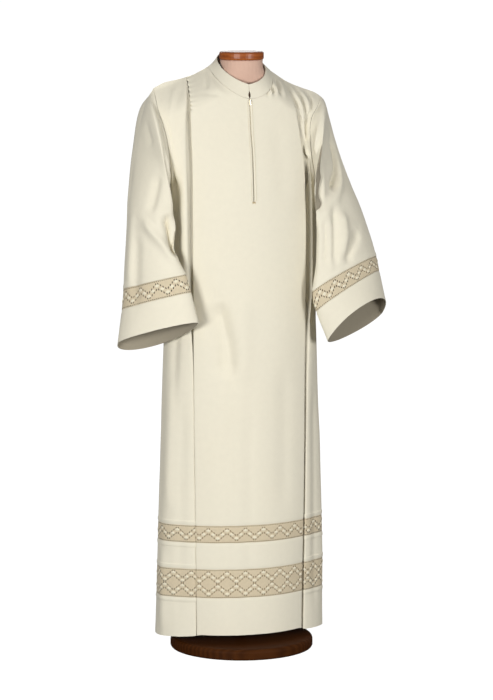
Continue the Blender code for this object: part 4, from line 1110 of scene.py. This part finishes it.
def material(name):
    """The named finish, made the first time that it is asked for."""
    found = bpy.data.materials.get(f"robe_{name}")
    if found:
        return found
    c, s = bpy.context.scene.robe_colours, bpy.context.scene.robe_sizes
    makers = {
        "lace_zigzag": lambda: lace_material(name),
        "lace_zigzag_middle": lambda: lace_material(name),
        "lace_diamonds": lambda: lace_material(name),
        "lace_diamonds_middle": lambda: lace_material(name),
        # Painted shade for the inner side of the sleeves and cuffs.
        "shaded_inside": lambda: cloth_material(name, c.inside, c.inside, s.weave, 0.1),
        "ivory_cloth": lambda: cloth_material(name, c.cloth, c.cloth_shade, s.weave),
        "lace_thread": lambda: cloth_material(name, c.lace_thread, c.lace_thread, 0.0006, 0.1, "Object"),
        "sewing_thread": lambda: cloth_material(name, c.stitch, c.stitch, 0.0004, 0.1, "Object"),
        "form_jersey": lambda: cloth_material(name, c.jersey, tuple(0.93 * x for x in c.jersey), 0.0012, 0.2,
                                              "Object"),
        "varnished_wood": lambda: wood_material(name, c.cap, c.cap_dark, 9.0, 0.38, 0.30),
        "base_wood": lambda: wood_material(name, c.base, c.base_dark, 5.0, 0.60, 0.0, 0.05),
        "black_pole": lambda: plain_material(name, (0.02, 0.02, 0.02), 0.4),
        "zip_brass": lambda: plain_material(name, (0.62, 0.55, 0.40), 0.32, 1.0, 900.0),
        "zip_ribbon": lambda: cloth_material(name, (0.50, 0.42, 0.27), (0.46, 0.38, 0.24), 0.0007, 0.1,
                                             "Object"),
    }
    made = makers[name]()
    made.name = f"robe_{name}"
    return made


def recoat(node, finish):
    """Gives a solid of the frame its finish."""
    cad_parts[node].material_slots[0].material = material(finish)


# --------------------------------------------------------------------------- the operators
def robe_panel(face, name, folds):
    """A middle panel with its rolled pleat edges, and the strips of the skirt under it."""
    sizes = bpy.context.scene.robe_sizes
    base = middle_grid(face)
    if not face.front:
        base = base[:, ::-1]
    out = level_at_seams(base, normals(base))
    grid = shaped(base, out, folds, False, sizes.unevenness)
    if face.front:
        x, z = base[:, :, 0], base[:, :, 2]
        over_zip = smooth((z - ZIP_BOTTOM_Z + 0.004) / 0.006)
        grid[:, :, 1] += 0.0013 * np.exp(-(x / 0.0019) ** 2) * over_zip
        grid[:, :, 1] -= 0.0011 * np.exp(-((np.abs(x) - 0.0044) / 0.0018) ** 2) * over_zip
        along = np.arange(len(grid))[:, None] * UPPER_HEIGHT / UPPER_ROWS
        sewn = smooth((PUCKER_LENGTH - along) / 0.02) * (x < 0)
        pucker = (0.5 + 0.5 * np.cos(2.0 * np.pi * along / PUCKER_STEP)) ** 2
        close = np.exp(-np.abs(x - base[:, :1, 0]) / 0.009)
        grid[:, :, 1] += 0.0040 * sewn * pucker * close
        grid[:, :, 0] += 0.0032 * sewn * pucker * close
    middle = grid.shape[1] // 2
    out = level_at_seams(base, normals(grid))
    whole = rolled(grid, out)
    added = (whole.shape[1] - grid.shape[1]) // 2
    out = normals(whole)
    out[:, added:-added][np.abs(base[:, :, 1] - SEAM_Y) < 1e-6, 1] = 0.0
    out = unit(out)
    rows = ROW_PARTS["panel"]
    slit = None
    if face.front:
        ends = int(np.argmin(np.abs(ROWS[:, 0] - ZIP_BOTTOM_Z)))
        slit = (ends, middle - 1 + added)
    zero = middle - 0.5 + added
    sew(f"{name}_panel", whole[rows], out[rows], sizes.cloth_wall, "ivory_cloth", slit=slit, zero=zero)
    strips(name, whole, out, zero, True)


def side_panels(side, name):
    """Both side panels of one side, and the strips of the skirt under them."""
    sizes = bpy.context.scene.robe_sizes
    front, back = side_grid(FRONT, side), side_grid(BACK, side)
    near, far = (front, back[:, ::-1]) if side > 0 else (back, front[:, ::-1])
    last = near.shape[1]
    strip = np.concatenate([near, far[:, 1:]], axis=1)
    halves = []
    whole_out = level_at_seams(strip, normals(strip))
    for grid, cols in ((near, slice(0, last)), (far, slice(last - 1, None))):
        out = level_at_seams(grid, normals(grid))
        out[UPPER_ROWS:] = whole_out[UPPER_ROWS:, cols]
        seam = grid[:, -1:] if cols.start == 0 else grid[:, :1]
        above = np.maximum(0.0, 1.0 - np.arange(len(grid)) / UPPER_ROWS)[:, None]
        free = smooth((np.linalg.norm(grid - seam, axis=-1) - 0.002) / 0.012)
        free = 1.0 - (1.0 - free) * smooth(above / 0.08)
        halves.append(shaped(grid, unit(out), SIDE_FOLDS[side], True, sizes.unevenness, free))
    moved = np.concatenate([halves[0], halves[1][:, 1:]], axis=1)
    moved_out = level_at_seams(strip, normals(moved))
    labels = ("front", "back") if side > 0 else ("back", "front")
    for label, base, grid, cols in ((labels[0], near, halves[0], slice(0, last)),
                                    (labels[1], far, halves[1], slice(last - 1, None))):
        out = level_at_seams(base, normals(grid))
        out[UPPER_ROWS:] = moved_out[UPPER_ROWS:, cols]
        rows = ROW_PARTS["panel"]
        sew(f"{label}_side_panel_{name}", grid[rows], out[rows], sizes.cloth_wall, "ivory_cloth")
    strips(f"{name}_side", moved, moved_out, None, False)


def make_sleeve(side, name):
    """A sleeve with its lace band, the lace's worked ovals and its cuff."""
    sizes, lace = bpy.context.scene.robe_sizes, bpy.context.scene.robe_lace
    edges = [side_grid(face, side)[:UPPER_ROWS + 1, -1] for face in (FRONT, BACK)]
    grid = sleeve_grid(side, *edges)
    out = normals(grid, closed=True)
    at = np.arange(len(grid)) / SLEEVE_STEPS
    lace_at, cuff_at = SLEEVE_LACE_AT, SLEEVE_LACE_AT + 1
    span = 0.070
    lift = folds_lift(grid, out, SLEEVE_FOLDS[side]) + waves(grid, sizes.unevenness * 1.4)
    lift *= smooth(at / 0.35)[:, None]
    lift += seam_dips(at * span, [lace_at * span, cuff_at * span])[:, None]
    lift += (0.0011 * smooth((at - lace_at + 0.20) / 0.03) * (at <= lace_at))[:, None]
    grid = grid + out * lift[..., None]
    out = normals(grid, closed=True)
    first, second = lace_at * SLEEVE_STEPS, cuff_at * SLEEVE_STEPS
    # The inner sides of the sleeve and cuff carry a painted shade, darker than the cloth.
    for label, low, high, wall, finish in (
            ("sleeve", 0, first, sizes.cloth_wall, ("ivory_cloth", "shaded_inside")),
            ("sleeve_lace", first, second, sizes.lace_wall, "lace_zigzag"),
            ("cuff_band", second, len(grid) - 1, sizes.cloth_wall, ("ivory_cloth", "shaded_inside"))):
        rows = grid[low:high + 1].copy()
        for edge, inner, drawn in ((0, 1, low > 0), (-1, -2, high < len(grid) - 1)):
            if drawn:
                rows[edge] += unit(rows[inner] - rows[edge]) * GAP
        title = f"{label}_{name}"
        is_lace = label == "sleeve_lace"
        extras = [lambda c, n=title: lace_work(f"{n}_work", c, False)] if is_lace else ()
        sew(title, rows, out[low:high + 1], wall, finish, extras, slot="lace" if is_lace else "cloth",
            closed=True, height=LACE_HEIGHTS[False] if is_lace else None,
            period=lace.period if is_lace else None)


class ROBE_OT_front(bpy.types.Operator):
    """Front panel with its folded pleat edges, and the skirt bands under it"""
    bl_idname = "robe.front"
    bl_label = "Front"

    def execute(self, context):
        robe_panel(FRONT, "front", FRONT_FOLDS)
        return {"FINISHED"}


class ROBE_OT_back(bpy.types.Operator):
    """Back panel with its folded pleat edges, and the skirt bands under it"""
    bl_idname = "robe.back"
    bl_label = "Back"

    def execute(self, context):
        robe_panel(BACK, "back", BACK_FOLDS)
        return {"FINISHED"}


class ROBE_OT_sides(bpy.types.Operator):
    """Side panels of the front and back, and the skirt bands round them"""
    bl_idname = "robe.sides"
    bl_label = "Sides"

    def execute(self, context):
        for side, name in ((-1, "right"), (1, "left")):
            side_panels(side, name)
        return {"FINISHED"}


class ROBE_OT_sleeves(bpy.types.Operator):
    """Both sleeves with their lace and cuff bands"""
    bl_idname = "robe.sleeves"
    bl_label = "Sleeves"

    def execute(self, context):
        for side, name in ((-1, "right"), (1, "left")):
            make_sleeve(side, name)
        return {"FINISHED"}


class ROBE_OT_collar(bpy.types.Operator):
    """Stand-up collar with its keyhole at the front"""
    bl_idname = "robe.collar"
    bl_label = "Collar"

    def execute(self, context):
        grid = collar_grid()
        out = normals(grid)
        lift = waves(grid, context.scene.robe_sizes.unevenness * 0.6)
        lift *= (np.linspace(0.0, 1.0, len(grid)) ** 0.5)[:, None] * 0.5
        grid = grid + out * lift[..., None]
        out = normals(grid)
        sew("collar", grid, out, COLLAR_WALL, "ivory_cloth")
        return {"FINISHED"}


class ROBE_OT_zip(bpy.types.Operator):
    """Zip teeth, the stitching beside them and the finishes of the zip's hard pieces"""
    bl_idname = "robe.zip"
    bl_label = "Zip"

    def execute(self, context):
        panel = bpy.data.objects["front_panel_cloth"].data
        tree = BVHTree.FromPolygons([v.co for v in panel.vertices], [f.vertices for f in panel.polygons])

        def on_front(x, z, lift):
            hit = tree.ray_cast(Vector((x, -0.4, z)), Vector((0.0, 1.0, 0.0)))[0]
            if hit is None:
                raise RuntimeError("the front panel has no cloth beside the zip")
            return (x, hit.y - lift, z)

        pairs = []
        for x in (-STITCH_X, STITCH_X):
            for n in range(int((STITCH_TOP_Z - ZIP_BOTTOM_Z) / STITCH_STEP)):
                high = STITCH_TOP_Z - n * STITCH_STEP
                pairs.append((on_front(x, high, 0.0002), on_front(x, high - STITCH_STEP * 0.72, 0.0002)))
        for n in range(5):
            z = ZIP_BOTTOM_Z - 0.0012 - n * 0.0006
            pairs.append((on_front(-0.0052, z, 0.0003), on_front(0.0052, z, 0.0003)))
        for x in (-0.005, 0.005):
            pairs.append((on_front(x, ZIP_BOTTOM_Z + 0.003, 0.0004),
                          on_front(-x, ZIP_BOTTOM_Z - 0.006, 0.0006)))
        threads("zip_topstitch", pairs, 0.00032, "sewing_thread", "cloth")
        teeth = []
        for n in range(int((TEETH_TOP_Z - ZIP_BOTTOM_Z) / TOOTH_STEP)):
            z = TEETH_TOP_Z - n * TOOTH_STEP
            y = float(FRONT.flat_y(0.0, z, 1.0)) + 0.0021
            shift = 0.0003 if n % 2 else -0.0003
            teeth.append(((-0.0016 + shift, y, z), (0.0016 + shift, y, z)))
        threads("zip_teeth", teeth, 0.00050, "zip_brass", "zip_metal")
        for node, finish in (("zip_tape", "zip_ribbon"), ("zip_slider", "zip_brass"),
                             ("zip_pull_tab", "zip_brass")):
            recoat(node, finish)
        return {"FINISHED"}


class ROBE_OT_form(bpy.types.Operator):
    """Finishes of the dress form and its stand, and the cord round the top of its neck"""
    bl_idname = "robe.form"
    bl_label = "Form and stand"

    def execute(self, context):
        for node, finish in (("form_torso", "form_jersey"), ("neck_cap", "varnished_wood"),
                             ("stand_base", "base_wood"), ("stand_pole", "black_pole")):
            recoat(node, finish)
        deselect()
        bpy.ops.mesh.primitive_torus_add(major_radius=0.0578, minor_radius=0.0009, major_segments=96,
                                         minor_segments=10, location=(0.0, 0.0, 1.6280))
        piping = context.object
        piping.name = "neck_piping"
        bpy.ops.object.transform_apply(location=True, rotation=True, scale=True)
        bpy.ops.object.shade_smooth()
        piping.data.materials.append(material("form_jersey"))
        fit_out(piping, "form")
        return {"FINISHED"}


class ROBE_OT_stage(bpy.types.Operator):
    """Pale floor, soft lights and the camera"""
    bl_idname = "robe.stage"
    bl_label = "Stage"

    def execute(self, context):
        scene = context.scene
        deselect()
        bpy.ops.mesh.primitive_plane_add(size=400.0)
        floor = context.object
        floor.name = "floor"
        made, tree, ends = shader("pale_floor", Roughness=0.95, Specular_IOR_Level=0.0)
        ends["Base Color"].default_value = (0.14, 0.14, 0.14, 1.0)
        ends["Emission Color"].default_value = (1.0, 1.0, 1.0, 1.0)
        seen = put(tree, "LightPath").outputs["Is Camera Ray"]
        tree.links.new(calc(tree, "MULTIPLY", seen, 1.0), ends["Emission Strength"])
        floor.data.materials.append(made)

        world = bpy.data.worlds.new("studio")
        scene.world = world
        world.use_nodes = True
        world.node_tree.nodes["Background"].inputs[0].default_value = (1.0, 1.0, 1.0, 1.0)
        world.node_tree.nodes["Background"].inputs[1].default_value = 0.30
        aim = Vector((0.0, 0.0, 0.95))
        for name, azimuth, rise, away, size, power in LIGHTS:
            light = bpy.data.lights.new(name, "AREA")
            light.shape, light.size, light.energy = "DISK", size, power
            lamp = bpy.data.objects.new(name, light)
            scene.collection.objects.link(lamp)
            a, e = math.radians(azimuth), math.radians(rise)
            back = Vector((math.sin(a) * math.cos(e), -math.cos(a) * math.cos(e), math.sin(e)))
            lamp.location = aim + back * away
            lamp.rotation_euler = (-back).to_track_quat("-Z", "Y").to_euler()
        scene.view_settings.view_transform = "Standard"

        camera = bpy.data.cameras.new("camera")
        camera.lens, camera.sensor_width = 169.5, 36.0
        camera.shift_x = 0.0071
        camera.clip_start, camera.clip_end = 0.1, 500.0
        eye = bpy.data.objects.new("camera", camera)
        scene.collection.objects.link(eye)
        turn, down = math.radians(18.0), math.radians(8.03)
        eye.location = (-CAMERA_AWAY * math.sin(turn), -CAMERA_AWAY * math.cos(turn), CAMERA_Z)
        look = Vector((math.sin(turn) * math.cos(down), math.cos(turn) * math.cos(down), -math.sin(down)))
        eye.rotation_euler = look.to_track_quat("-Z", "Y").to_euler()
        scene.camera = eye
        return {"FINISHED"}


OPERATORS = (ROBE_OT_stage, ROBE_OT_form, ROBE_OT_front, ROBE_OT_back, ROBE_OT_sides, ROBE_OT_sleeves,
             ROBE_OT_collar, ROBE_OT_zip)


class ROBE_PT_tools(bpy.types.Panel):
    """The robe's pieces, sizes and colours"""
    bl_idname = "ROBE_PT_tools"
    bl_label = "Alb robe"
    bl_space_type = "VIEW_3D"
    bl_region_type = "UI"
    bl_category = "Robe"

    def draw(self, context):
        for operator in OPERATORS:
            self.layout.operator(operator.bl_idname)
        for owner in (context.scene.robe_sizes, context.scene.robe_lace, context.scene.robe_colours):
            box = self.layout.box()
            for key in owner.__annotations__:
                box.prop(owner, key)


SETTINGS = {"robe_colours": RobeColours, "robe_sizes": RobeSizes, "robe_lace": RobeLace}
CLASSES = (*SETTINGS.values(), *OPERATORS, ROBE_PT_tools)


def register():
    for kind in CLASSES:
        bpy.utils.register_class(kind)
    for name, kind in SETTINGS.items():
        setattr(bpy.types.Scene, name, bpy.props.PointerProperty(type=kind))


def unregister():
    for name in SETTINGS:
        delattr(bpy.types.Scene, name)
    for kind in reversed(CLASSES):
        bpy.utils.unregister_class(kind)


def main():
    register()
    for operator in OPERATORS:
        group_name, title = operator.bl_idname.split(".")
        getattr(getattr(bpy.ops, group_name), title)()


if __name__ == "__main__":
    main()
